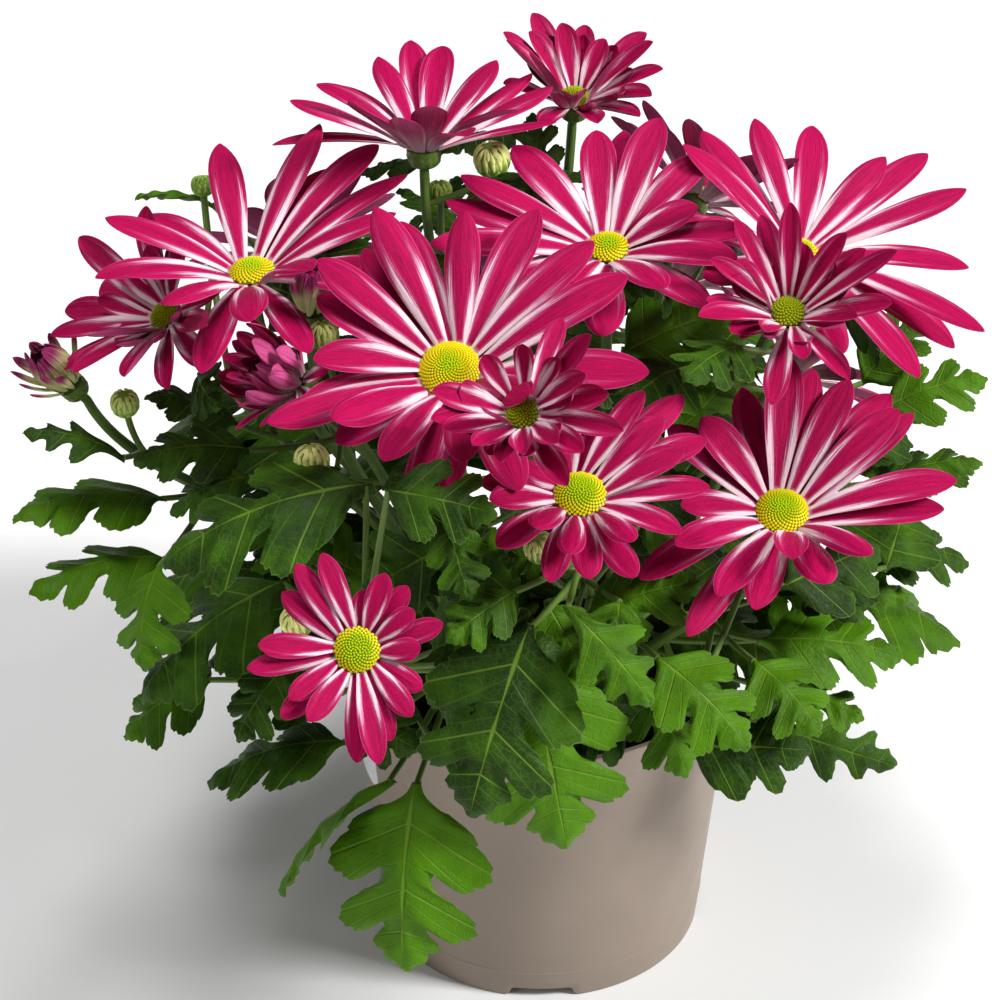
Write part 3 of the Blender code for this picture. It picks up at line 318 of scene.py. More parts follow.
def label_rings():
    """A thin blank label that lies on the wall: an arc of the wall's outer face and the
    same arc a label's thickness further out."""
    turn = np.radians(np.linspace(*LABEL_TURNS, LABEL_COLUMNS))
    ring = np.concatenate([turn, turn[::-1]])
    out = np.concatenate([np.full(LABEL_COLUMNS, LABEL_THICKNESS), np.zeros(LABEL_COLUMNS)])
    height = np.linspace(*LABEL_HEIGHTS, LABEL_ROWS)[:, None]
    radius = wall_radius(height) + LABEL_LIFT + out
    return np.stack([radius * np.cos(ring), radius * np.sin(ring), height + 0 * ring], axis=-1)[None]


def label_finish():
    """White coated paper."""
    finish, tree, surface = new_finish("blank label", 0.5)
    surface.inputs["Base Color"].default_value = (*LABEL_WHITE, 1.0)
    bumped(tree, surface, mottle(tree, 500.0), 0.1, 0.0002)
    return finish


pot = make_piece("pot_shell", [pot_rings()], (), pot_finish(), ["pot"], 40)
drill(pot, [math.tau * (i + 0.5) / DRAIN_COUNT for i in range(DRAIN_COUNT)])
make_piece("pot_label", [label_rings()], (), label_finish(), ["pot"], 40)

# The soil
# Dark, moist peat compost. It fills the pot to 13 mm under the rim, with a crumbly top
# that is slightly higher in the middle.
SEAT_GAP = 0.0003
SOIL_LEVEL = 0.085
SOIL_CROWN = 0.0016
SOIL_RINGS = 60
SOIL_COLUMNS = 200
SOIL_START = 0.01
SOIL_MIDDLE = 0.02
SOIL_EDGE_FADE = 12
CRUMB_SIZES = (0.022, 0.010, 0.0055, 0.0030, 0.0019)
CRUMB_HEIGHT = 0.13
CRUMB_LEVEL = 0.6
CRUMB_WAVES = 3
PEAT = (0.016, 0.011, 0.008)
PEAT_FIBRE = (0.075, 0.048, 0.030)


def crumbs(x, y):
    """Height of loose crumbs: for each size, folded waves in a few random directions, each
    as tall as a fixed part of the size."""
    height = 0 * x
    for size in CRUMB_SIZES:
        for _ in range(CRUMB_WAVES):
            way, shift = chance.uniform(0, math.tau, 2)
            wave = np.sin((x * math.cos(way) + y * math.sin(way)) * math.tau / size + shift)
            height = height + size * CRUMB_HEIGHT * (CRUMB_LEVEL - np.abs(wave)) / CRUMB_WAVES
    return height


def soil_rings():
    """Underside, side and top of the soil as rings, the top from its edge to the middle."""
    bottom = FLOOR_TOP + SEAT_GAP
    low_edge = wall_radius(bottom) - POT_WALL - SEAT_GAP
    top_edge = wall_radius(SOIL_LEVEL) - POT_WALL - SEAT_GAP
    inward = np.linspace(1, SOIL_MIDDLE, SOIL_RINGS)
    radius = np.concatenate([[SOIL_START, low_edge], top_edge * inward])[:, None]
    turn = full_turn(SOIL_COLUMNS)
    x = radius * np.cos(turn)
    y = radius * np.sin(turn)
    fade = np.clip((1 - radius / top_edge) * SOIL_EDGE_FADE, 0, 1)
    top = SOIL_LEVEL + SOIL_CROWN * (1 - (radius / top_edge) ** 2) + crumbs(x, y) * fade
    height = np.where(np.arange(SOIL_RINGS + 2)[:, None] < 2, bottom, top)
    return np.stack([x, y, height], axis=-1)[None]


def soil_finish():
    """Nearly black peat with brown fibres."""
    finish, tree, surface = new_finish("moist peat", 0.95)
    fibres = ramp(tree, mottle(tree, 420.0, 6.0, 0.7, (1.0, 0.35, 1.0)), 0.60, 0.74)
    tree.links.new(blend_colours(tree, fibres, PEAT, PEAT_FIBRE), surface.inputs["Base Color"])
    bumped(tree, surface, mottle(tree, 900.0, 5.0, 0.7), 0.8, 0.0008)
    return finish


make_piece("soil_surface", [soil_rings()], (), soil_finish(), ["soil"], 80)

# The stems
# Five rooted cuttings. Each main stem branches just above the soil, and every branch ends
# in the green cup of a flower head. The stems are soft, pale green and finely ribbed. The
# places of all that grows are given by where they are seen in the reference view.
EYE = np.array((-0.0129, -0.8505, 0.6976))
LOOK_DOWN = math.radians(32.77)
VIEW_FOCAL = 3409.0
VIEW_MIDDLE = 500.0
# Where each cutting stands in the soil, as X and Y
PLANTS = {
    1: (-0.020, -0.020),
    2: (0.021, -0.018),
    3: (-0.028, 0.008),
    4: (0.022, 0.017),
    5: (-0.006, 0.027),
}
# Cutting, middle of the head in the view's pixels, its place along Y, how it faces (turn
# from the front towards +X, height, in degrees), radius of its disc, and what it looks like
HEADS = {
    "bloom_01": (1, (450, 370), -0.055, (-8, 58), 0.0084, "open"),
    "bloom_02": (3, (252, 272), -0.010, (-30, 82), 0.0062, "open"),
    "bloom_03": (5, (424, 143), 0.028, (180, 80), 0.0055, "open"),
    "bloom_04": (5, (575, 98), 0.062, (20, 78), 0.0050, "young"),
    "bloom_05": (2, (608, 248), -0.008, (0, 72), 0.0056, "open"),
    "bloom_06": (2, (788, 312), -0.032, (0, 60), 0.0052, "young"),
    "bloom_07": (4, (800, 253), 0.005, (35, 68), 0.0052, "open"),
    "bloom_08": (1, (522, 413), -0.088, (-15, 48), 0.0048, "young"),
    "bloom_09": (2, (580, 495), -0.085, (0, 66), 0.0069, "open"),
    "bloom_10": (2, (782, 512), -0.062, (0, 66), 0.0072, "open"),
    "bloom_11": (1, (357, 650), -0.112, (3, 38), 0.0060, "open"),
    "bloom_12": (3, (165, 315), -0.012, (-55, 50), 0.0050, "young"),
    "bloom_13": (1, (292, 380), -0.045, (-65, 35), 0.0046, "closed"),
    "bloom_14": (3, (66, 380), -0.020, (-60, 55), 0.0044, "pale"),
    "bloom_15": (3, (312, 305), -0.022, (20, 80), 0.0042, "pale"),
    "bloom_16": (4, (697, 196), 0.040, (140, 40), 0.0052, "open"),
    "bloom_17": (5, (300, 250), 0.078, (205, 42), 0.0060, "open"),
    "bloom_18": (5, (470, 285), 0.104, (182, 46), 0.0065, "open"),
    "bloom_19": (4, (675, 280), 0.100, (158, 46), 0.0060, "open"),
    "bloom_20": (4, (800, 370), 0.078, (128, 42), 0.0060, "open"),
}
HOLE_BOTTOM = 0.060
MAIN_STEM_RADIUS = 0.0034
MAIN_STEM_TOP = 0.106
BRANCH_RADIUS = 0.0019
NECK_RADIUS = 0.0014
BRANCH_SPREAD = 0.21
BRANCH_LEAD = 0.31
BRANCH_UPRIGHT = 0.40
NODE_SPACING = 0.0042
RECEPTACLE_DEPTH = 0.0015
RECEPTACLE_WIDTH = 0.92
CUP_HEIGHT = 0.0055
NECK_LENGTH = 0.003
STEM_AROUND = 18
STEM_STEPS = 24
STEM_THINNING = (1.0, 0.9)
BRANCH_STEPS = 34
STEM_RIBS = 6
STEM_RIB_DEPTH = 0.05
BRANCH_RIB_DEPTH = 0.08
CUP_RINGS = 10
SCALE_THICKNESS = 0.00016
SCALE_SPAN = (0.02, 0.98)
SCALE_ROWS = 6
SCALE_COLUMNS = 6
# Rows of scales: how many, where on the form they start and end, overlap, how far they
# stand off the form, and the turn of the first one
CUP_ROWS = (
    (11, 0.10, 0.62, 1.5, 0.0003, 0.0),
    (13, 0.32, 0.86, 1.6, 0.0002, 0.2),
    (15, 0.55, 1.12, 1.6, 0.0001, 0.4),
)
UPRIGHT = np.array((0.0, 0.0, 1.0))
STEM_GREEN = (0.060, 0.125, 0.012)
STEM_PALE = (0.150, 0.240, 0.040)


def unit(vector):
    """The vector, or each vector of an array, at length one."""
    return vector / np.linalg.norm(vector, axis=-1, keepdims=True)


def seen_point(pixel, depth):
    """The point on the line of sight through a pixel, at a given place along Y."""
    down = np.array((0, math.cos(LOOK_DOWN), -math.sin(LOOK_DOWN))) * VIEW_FOCAL
    up = np.array((0, math.sin(LOOK_DOWN), math.cos(LOOK_DOWN))) * (VIEW_MIDDLE - pixel[1])
    ray = down + up + np.array((pixel[0] - VIEW_MIDDLE, 0, 0))
    return EYE + ray * ((depth - EYE[1]) / ray[1])


def head_frame(name):
    """Middle and axis of a head, and the two directions of its own plane."""
    _, pixel, depth, facing, _, _ = HEADS[name]
    turn, height = np.radians(facing)
    axis = np.array((math.sin(turn) * math.cos(height), -math.cos(turn) * math.cos(height),
                     math.sin(height)))
    right = unit(np.array((1.0, 0, 0)) - axis * axis[0])
    return seen_point(pixel, depth), axis, right, np.cross(axis, right)


def curve(controls, steps):
    """Points on the Bezier curve of three or four control points."""
    t = np.linspace(0, 1, steps)[:, None]
    order = len(controls) - 1
    return sum(math.comb(order, k) * t ** k * (1 - t) ** (order - k) * control
               for k, control in enumerate(controls))


def branch_curve(name, steps):
    """The branch of a head, from the main stem to the neck of its cup."""
    plant = HEADS[name][0]
    middle, axis, _, _ = head_frame(name)
    node = [other for other in HEADS if HEADS[other][0] == plant].index(name)
    start = np.array((*PLANTS[plant], MAIN_STEM_TOP - NODE_SPACING * node))
    end = middle - axis * (RECEPTACLE_DEPTH + SEAT_GAP + CUP_HEIGHT + NECK_LENGTH)
    span = np.linalg.norm(end - start)
    lead = start + (end - start) * (1, 1, 0) * BRANCH_SPREAD + UPRIGHT * span * BRANCH_LEAD
    arrive = end - unit(axis + (UPRIGHT - axis) * BRANCH_UPRIGHT) * span * BRANCH_LEAD
    return curve((start, lead, arrive, end), steps)


def spokes(right, up, angle):
    """Directions at angles in the plane of two unit vectors."""
    return right * np.cos(angle)[..., None] + up * np.sin(angle)[..., None]


def turned_form(middle, axis, right, up, wide, depth, count):
    """A form turned about an axis: a ring of each radius at each depth below the middle."""
    ring = spokes(right, up, full_turn(count))
    return middle - axis * depth[:, None, None] + ring * wide[:, None, None]


def sweep(path, radii, reference, around, ribs=0, depth=0.0):
    """A circle carried along a path, square to it. The radius at each place is multiplied
    by 1 + depth * cos(ribs * angle)."""
    ahead = unit(np.gradient(path, axis=0))
    across = unit(reference - ahead * (ahead @ reference)[:, None])
    over = np.cross(ahead, across)
    angle = full_turn(around)
    reach = radii[:, None] * (1 + depth * np.cos(ribs * angle))
    return path[:, None] + spokes(across[:, None], over[:, None], angle) * reach[..., None]


def with_values(rings, *values):
    """Rings with more values at each point, given as numbers or arrays that fit."""
    shape = rings.shape[:-1]
    extra = [np.broadcast_to(value, shape)[..., None] for value in values]
    return np.concatenate([rings, *extra], axis=-1)


def level_reference(path):
    """A level direction square to the upright plane that a path runs in."""
    chord = path[-1] - path[0]
    level = np.cross(chord, UPRIGHT)
    return unit(level) if np.linalg.norm(level) > 1e-4 else np.array((1.0, 0, 0))


def bowl(part, radius):
    """Radius and depth of a head's cup. Part 0 is the neck and part 1 the top edge."""
    angle = part * math.pi / 2
    wide = NECK_RADIUS + (radius - NECK_RADIUS) * np.sin(angle) ** 0.8
    return wide, CUP_HEIGHT * np.cos(angle) ** 0.9


def scales(middle, right, up, axis, shape, row, thick=SCALE_THICKNESS):
    """One row of pointed scales on a turned form. Each scale is a flat ellipse bent round
    the form: turn = place + half width * sine(pi * along ** 0.7) * cos(ring angle), and its
    thickness follows the sine of the ring angle."""
    count, low, high, overlap, stand, first = row
    along = np.linspace(*SCALE_SPAN, SCALE_ROWS)[None, :, None]
    ring = full_turn(SCALE_COLUMNS)[None, None, :]
    place = (first + math.tau * np.arange(count) / count)[:, None, None]
    wide, depth = shape(low + (high - low) * along)
    half = math.pi / count * overlap * np.sin(math.pi * along ** 0.7)
    turn = place + half * np.cos(ring)
    reach = wide + stand * (0.4 + along) + thick * np.sin(ring)
    return middle + spokes(right, up, turn) * reach[..., None] - axis * (depth + 0 * turn)[..., None]


def cup_groups(name):
    """The bowl under a head and its rows of bracts, with their paleness."""
    middle, axis, right, up = head_frame(name)
    radius = HEADS[name][4] * RECEPTACLE_WIDTH * 0.96
    top = middle - axis * (RECEPTACLE_DEPTH + SEAT_GAP)
    wide, depth = bowl(np.linspace(0.0, 1.0, CUP_RINGS), radius)
    body = turned_form(top, axis, right, up, wide, depth, STEM_AROUND)
    groups = [with_values(body[None], 0.2)]
    for row in CUP_ROWS:
        rings = scales(top, right, up, axis, lambda u: bowl(np.minimum(u, 1.0), radius), row)
        along = np.linspace(0, 1, SCALE_ROWS)[None, :, None]
        groups.append(with_values(rings, 0.2 + 0.8 * along ** 2))
    return groups


def stem_finish():
    """Ribbed green stem, paler on bract tips and in patches."""
    finish, tree, surface = new_finish("stem green", 0.48)
    pale = point_values(tree, "pale")[0]
    patches = ramp(tree, mottle(tree, 90.0), 0.35, 0.75, 0.0, 0.55)
    amount = reckon(tree, "MAXIMUM", pale, patches)
    tree.links.new(blend_colours(tree, amount, STEM_GREEN, STEM_PALE), surface.inputs["Base Color"])
    surface.inputs["Specular IOR Level"].default_value = 0.4
    bumped(tree, surface, mottle(tree, 700.0, 3.0, 0.6, (1.0, 1.0, 0.15)), 0.3, 0.0004)
    return finish


stems = {plant: [] for plant in PLANTS}
starts = {plant: [] for plant in PLANTS}
for plant, (x, y) in PLANTS.items():
    rise = np.linspace(HOLE_BOTTOM + SEAT_GAP, MAIN_STEM_TOP, STEM_STEPS)
    path = np.stack([np.full(STEM_STEPS, x), np.full(STEM_STEPS, y), rise], axis=-1)
    radii = MAIN_STEM_RADIUS * np.interp(rise, (SOIL_LEVEL, MAIN_STEM_TOP), STEM_THINNING)
    rod = sweep(path, radii, np.array((1.0, 0, 0)), STEM_AROUND, STEM_RIBS, STEM_RIB_DEPTH)
    stems[plant].append(with_values(rod[None], 0.0))
for name, head in HEADS.items():
    path = branch_curve(name, BRANCH_STEPS)
    radii = np.linspace(BRANCH_RADIUS, NECK_RADIUS, BRANCH_STEPS)
    rod = sweep(path, radii, level_reference(path), STEM_AROUND, STEM_RIBS, BRANCH_RIB_DEPTH)
    stems[head[0]].append(with_values(rod[None], 0.15))
    middle, axis, _, _ = head_frame(name)
    neck = np.array([path[-1], middle - axis * (RECEPTACLE_DEPTH + SEAT_GAP + CUP_HEIGHT * 0.9)])
    link = sweep(neck, np.array((NECK_RADIUS, NECK_RADIUS)), level_reference(path), STEM_AROUND)
    stems[head[0]].append(with_values(link[None], 0.15))
    stems[head[0]] += cup_groups(name)
    joints = branch_curve(name, 5)
    for low, high in zip(joints, joints[1:]):
        starts[head[0]] += [low + (high - low) * t for t in (0.0, 0.25, 0.5, 0.75)]


def nearest_start(place, plant):
    """The branch point closest to a place, preferring points that lie below it."""
    points = np.array(starts[plant])
    cost = np.linalg.norm(points - place, axis=1) + 2 * np.maximum(0, points[:, 2] - place[2])
    return points[np.argmin(cost)]


# The leaves
# Deep green and thin, about as long as a thumb, with two pairs of rounded, toothed lobes
# and deep round bays between them. The veins are sunk above and raised below, where the
# blade is duller and paler. Each leaf hangs on a short flat stalk.
# Base and tip in the view's pixels, and their places along Y in mm. Then, for some, the
# roll in degrees and the width
LEAVES = (
    (166, 498, 12, 517, -20, -35),
    (168, 558, 28, 592, -35, -50),
    (159, 564, 143, 672, -60, -78, 0, 1.10),
    (288, 579, 138, 700, -62, -75, 10, 0.90),
    (212, 678, 123, 738, -52, -60, 0, 1.00),
    (288, 665, 236, 742, -80, -92, 0, 1.00),
    (348, 741, 206, 783, -85, -80, 30, 0.80),
    (392, 778, 278, 893, -96, -108, 60, 1.20),
    (415, 783, 404, 973, -98, -120, 0, 1.00),
    (371, 484, 162, 564, -70, -74, 15, 0.80),
    (252, 476, 169, 513, -44, -48),
    (126, 458, 23, 431, -30, -34, 0, 1.10),
    (252, 450, 133, 460, -30, -34),
    (240, 425, 145, 395, -15, -18),
    (385, 490, 497, 515, -90, -98),
    (491, 523, 361, 590, -98, -108, -10, 0.90),
    (517, 590, 446, 642, -100, -112),
    (530, 624, 469, 819, -104, -128, 0, 0.95),
    (528, 660, 567, 850, -98, -118, 0, 1.00),
    (565, 605, 653, 705, -108, -124, 0, 1.30),
    (582, 620, 702, 582, -82, -80, -20, 0.90),
    (655, 655, 750, 749, -94, -112, 0, 0.95),
    (640, 672, 688, 778, -84, -100),
    (752, 659, 821, 735, -76, -92, 0, 1.10),
    (785, 692, 865, 718, -58, -64),
    (768, 722, 898, 766, -52, -54, 45, 1.00),
    (758, 640, 903, 657, -56, -50, 0, 0.75),
    (772, 640, 822, 592, -40, -30, 0, 1.00),
    (787, 586, 913, 599, -36, -32, 30, 1.00),
    (846, 545, 970, 563, -24, -18, 0, 0.80),
    (880, 482, 983, 462, 4, 8, 0, 0.85),
    (880, 410, 988, 377, 14, 20, 20, 0.80),
    (860, 385, 925, 315, 26, 34),
    (215, 205, 135, 197, 50, 56, 20, 1.10),
    (215, 265, 138, 240, 22, 24, 0, 1.10),
    (540, 185, 533, 112, 48, 56),
    (620, 355, 728, 312, -16, 2),
    (670, 440, 735, 372, -30, -16),
    (330, 300, 372, 235, 30, 44),
    (400, 600, 300, 540, -85, -75),
    (440, 560, 395, 610, -92, -106),
    (560, 560, 500, 560, -70, -66),
    (640, 520, 700, 560, -50, -58),
    (620, 600, 610, 660, -80, -100),
    (330, 420, 250, 400, -30, -20),
    (850, 460, 905, 420, -10, 0),
    (480, 300, 430, 255, -5, 8),
    (545, 330, 575, 300, -30, -20),
    (600, 635, 622, 735, -86, -100),
    (448, 520, 470, 600, -90, -104),
    (545, 600, 592, 690, -80, -96),
    (470, 245, 398, 188, 30, 46),
    (530, 225, 478, 160, 46, 64),
    (712, 350, 775, 425, -10, -20),
)
NARROW_LEAVES = (7, 11, 19, 25, 28, 33, 34)
LEAF_WIDTH = 0.90
# Leaves that the view hides: tiers of count, first and last turn in degrees, base radius
# and height, tip radius and height
TIERS = (
    (7, 8.0, 172.0, 0.066, 0.118, 0.128, 0.098),
    (5, 20.0, 160.0, 0.060, 0.150, 0.122, 0.140),
    (8, -160.0, 155.0, 0.036, 0.146, 0.088, 0.124),
    (5, -15.0, 195.0, 0.030, 0.182, 0.084, 0.172),
)
TIER_SWING = 8.0
TIER_STAGGER = 0.008
# How far a leaf may have slid, rolled or shrunk to stay clear of its neighbours
LEAF_SLIDES = (0.0, 0.004, -0.004, 0.008, -0.008, 0.012, -0.012, 0.017, -0.017, 0.022, -0.022)
LEAF_ROLLS = (0, 14, -14, 28, -28, 45, -45)
LEAF_SIZES = (1.0, 0.84, 0.68)
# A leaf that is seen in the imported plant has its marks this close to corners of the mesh
MARK_REACH = 0.0006
MARKS = {"broad": (0.40, 0.46), "narrow": (0.26, 0.52)}
LEAF_THICKNESS = 0.0005
LEAF_ARCH = 0.10
LEAF_FOLD = 0.16
BLADE_UPRIGHT = 0.54
TOOTH_START = 0.13
TOOTH_SIZE = 0.050
TOOTH_LEAN = 0.010
LEAF_WAVE = 0.020
LEAF_DROOP = 0.030
LEAF_QUILT = 0.0028
LEAF_RIB = 0.0008
PETIOLE_SAG = 0.05
PETIOLE_DROP = 0.008
PETIOLE_RADIUS = 0.00085
PETIOLE_FLARE = 1.2
PETIOLE_HOLD = 0.03
# One half of the outline, from the stalk to the tip: distance from the midrib, distance
# along it, and where on the midrib the vein to that place leaves it, in blade lengths
BROAD_HALF = (
    (0.018, 0.000, 0.000), (0.042, 0.055, 0.020), (0.105, 0.105, 0.045), (0.190, 0.140, 0.075),
    (0.280, 0.195, 0.100), (0.335, 0.250, 0.120), (0.340, 0.292, 0.135), (0.398, 0.350, 0.165),
    (0.420, 0.425, 0.195), (0.402, 0.485, 0.215), (0.345, 0.505, 0.245), (0.320, 0.530, 0.265),
    (0.255, 0.525, 0.300), (0.190, 0.470, 0.345), (0.148, 0.440, 0.385), (0.130, 0.470, 0.415),
    (0.160, 0.535, 0.440), (0.235, 0.582, 0.460), (0.262, 0.612, 0.480), (0.325, 0.655, 0.505),
    (0.356, 0.722, 0.530), (0.338, 0.778, 0.555), (0.282, 0.792, 0.580), (0.252, 0.812, 0.605),
    (0.185, 0.780, 0.640), (0.134, 0.722, 0.675), (0.118, 0.762, 0.720), (0.168, 0.822, 0.760),
    (0.164, 0.868, 0.800), (0.118, 0.888, 0.840), (0.108, 0.938, 0.890), (0.056, 0.960, 0.930),
    (0.032, 0.990, 0.970), (0.004, 0.999, 0.990),
)
BROAD_VEINS = (8, 20, 27)
NARROW_HALF = (
    (0.018, 0.000, 0.000), (0.034, 0.080, 0.040), (0.052, 0.180, 0.100), (0.078, 0.270, 0.170),
    (0.140, 0.360, 0.220), (0.205, 0.420, 0.260), (0.262, 0.510, 0.300), (0.245, 0.550, 0.330),
    (0.190, 0.560, 0.380), (0.110, 0.545, 0.440), (0.086, 0.570, 0.500), (0.110, 0.640, 0.540),
    (0.170, 0.700, 0.580), (0.180, 0.760, 0.620), (0.130, 0.780, 0.680), (0.082, 0.790, 0.730),
    (0.085, 0.850, 0.790), (0.100, 0.895, 0.840), (0.060, 0.930, 0.890), (0.034, 0.980, 0.950),
    (0.004, 0.999, 0.990),
)
NARROW_VEINS = (6, 13, 17)
OUTLINE_STEPS = 2
BLADE_COLUMNS = 11
# How fresh and how lit the green of some leaves looks, by their number in the list: partly the leaf's
# age, partly painted light and shade; the others are drawn
LEAF_AGE_AND_LIGHT_TONES = {0: 0.9, 1: 1.1, 2: 1.0, 3: 0.3, 4: 0.7, 6: 0.2, 7: 0.9, 8: 1.25, 12: 0.1, 13: 0.1, 14: 0.2,
              17: 0.0, 18: 1.3, 19: 0.8, 21: 1.0, 22: 0.8, 23: 1.0, 24: 0.9, 26: 1.0, 27: 1.3}
LEAF_TONE_MOST = 0.9
LEAF_DEEP = (0.008, 0.026, 0.002)
LEAF_FRESH = (0.068, 0.190, 0.001)
LEAF_VEIN = (0.180, 0.310, 0.030)
# Pale green of the painted edge highlight, also of the veins below
LEAF_EDGE_HIGHLIGHT_AND_UNDER_VEIN = (0.100, 0.180, 0.030)
LEAF_BELOW = (0.060, 0.115, 0.022)


def leaf_outline(half, veins):
    """The half outline as a smooth curve through its points (a cubic through each pair,
    with tangents from their neighbours), and a vein number that is whole on each vein."""
    points = np.array(half)
    number = np.interp(np.arange(len(half)), (0, *veins, len(half) - 1),
                       (0, *np.arange(1, len(veins) + 1), len(veins) + 1))
    points = np.column_stack([points, number])
    before = np.vstack([points[:1], points[:-1]])
    after = np.vstack([points[1:], points[-1:]])
    tangent = (after - before) / 2
    t = np.linspace(0, 1, OUTLINE_STEPS, endpoint=False)[None, :, None]
    low = points[:-1, None]
    high = points[1:, None]
    smooth = (low * (2 * t ** 3 - 3 * t ** 2 + 1) + high * (3 * t ** 2 - 2 * t ** 3)
              + tangent[:-1, None] * (t ** 3 - 2 * t ** 2 + t) + tangent[1:, None] * (t ** 3 - t ** 2))
    smooth[..., 2:] = low[..., 2:] + (high[..., 2:] - low[..., 2:]) * t
    return np.vstack([smooth.reshape(-1, 4), points[-1:]])


OUTLINES = {"broad": leaf_outline(BROAD_HALF, BROAD_VEINS),
            "narrow": leaf_outline(NARROW_HALF, NARROW_VEINS)}


def turned(vector, axis, angle):
    """The vector turned about a unit axis that is square to it."""
    return vector * math.cos(angle) + np.cross(axis, vector) * math.sin(angle)


def blade_frame(base, tip, roll):
    """Base, tip and normal of a blade that looks up and away from the pot's axis."""
    along = unit(tip - base)
    middle = (base + tip) / 2
    outward = unit(middle * (1, 1, 0))
    face = outward + (UPRIGHT - outward) * BLADE_UPRIGHT
    normal = unit(face - along * (face @ along))
    return base, tip, turned(normal, along, math.radians(roll))


def leaf_frames():
    """For every leaf its kind, its width and the places that it may have taken."""
    trials = [(size, roll, slide) for size in LEAF_SIZES for roll in LEAF_ROLLS
              for slide in LEAF_SLIDES]
    for number, (base_x, base_y, tip_x, tip_y, near, far, *form) in enumerate(LEAVES):
        own_roll, width = form or (0, LEAF_WIDTH)
        base = seen_point((base_x, base_y), near / 1000)
        tip = seen_point((tip_x, tip_y), far / 1000)
        sight = unit((base + tip) / 2 - EYE)
        places = []
        for size, roll, slide in trials:
            foot = base + sight * slide
            end = foot + (tip + sight * slide - foot) * size
            places.append(blade_frame(foot, end, own_roll + roll))
        yield "narrow" if number in NARROW_LEAVES else "broad", width, places
    for count, first, last, base_radius, base_height, tip_radius, tip_height in TIERS:
        for i in range(count):
            turn = math.radians(first + (last - first) * i / (count - 1))
            swing = math.radians(TIER_SWING if i % 2 else -TIER_SWING)
            base = np.array((base_radius * math.cos(turn), base_radius * math.sin(turn),
                             base_height + TIER_STAGGER * (i % 3)))
            tip = np.array((tip_radius * math.cos(turn + swing), tip_radius * math.sin(turn + swing),
                            tip_height - TIER_STAGGER * (i % 2)))
            places = [blade_frame(base + UPRIGHT * slide,
                                  base + UPRIGHT * slide + (tip - base) * size, roll)
                      for size, roll, slide in trials]
            yield "broad", LEAF_WIDTH, places


def blade_point(place, width, x, y):
    """Points of the blade's middle surface: along the chord by y, aside by x, raised by the
    arch 4 * arch * y * (1 - y) and lowered by the fold times the distance aside."""
    base, tip, normal = place
    length = np.linalg.norm(tip - base)
    ahead = (tip - base) / length
    side = np.cross(ahead, normal)
    arch = 4 * LEAF_ARCH * y * (1 - y) - LEAF_FOLD * np.abs(x) * width
    return (base + (tip - base) * y[..., None] + side * (x * width * length)[..., None]
            + normal * (arch * length)[..., None])


def grown_place(kind, width, places):
    """The place whose lobe tips and leaf tip are corners of a packed plant."""
    best = None
    mark_x, mark_y = MARKS[kind]
    x = np.array((0, -mark_x, mark_x))
    y = np.array((1, mark_y, mark_y))
    for place in places:
        marks = blade_point(place, width, x, y)
        for plant, tree in trees.items():
            miss = max(tree.find(Vector(mark))[2] for mark in marks)
            if best is None or miss < best[0]:
                best = (miss, plant, place)
    return best


def blade_rings(kind, width, place, sway, columns, skip):
    """A thin blade as rings across it. Row by row the ring runs from the left edge over the
    top to the right edge and back below. Each line across leaves the midrib at its vein's
    foot and ends on the outline. The edge is toothed, waved and drawn down a little."""
    x_edge, y_edge, foot, number = OUTLINES[kind][::skip].T
    tooth = (np.arange(len(x_edge)) % 2) * (x_edge > TOOTH_START) * (2 - skip)
    x_edge = x_edge * (1 + TOOTH_SIZE * tooth)
    y_edge = np.minimum(y_edge + TOOTH_LEAN * tooth, 0.999)
    length = np.linalg.norm(place[1] - place[0])
    over = np.linspace(-1, 1, columns)
    across = np.concatenate([over, over[-2:0:-1]])[None, :]
    below = (np.arange(across.shape[1]) >= columns)[None, :]
    reach = np.abs(across)
    x = x_edge[:, None] * across
    y = foot[:, None] + (y_edge - foot)[:, None] * reach
    middle = blade_point(place, width, x, y)
    _, _, normal = place
    wave = np.sin(number[:, None] * math.tau * 0.9 + sway + across * 1.2) * reach ** 2 * LEAF_WAVE
    droop = -LEAF_DROOP * reach ** 3
    vein = -np.cos(number[:, None] * math.tau) * (1 - reach) * reach * LEAF_QUILT
    thick = LEAF_THICKNESS / 2 * (1 - reach ** 6)
    rib = LEAF_RIB * (1 - y) * np.clip(1 - reach * 5, 0, 1)
    raised = (wave + droop) * length + vein + np.where(below, -thick - rib, thick - rib * 0.25)
    rings = middle + normal * raised[..., None]
    pace = np.broadcast_to(number[:, None], x.shape)
    return rings, across + 0 * x, pace, below + 0.0 * x


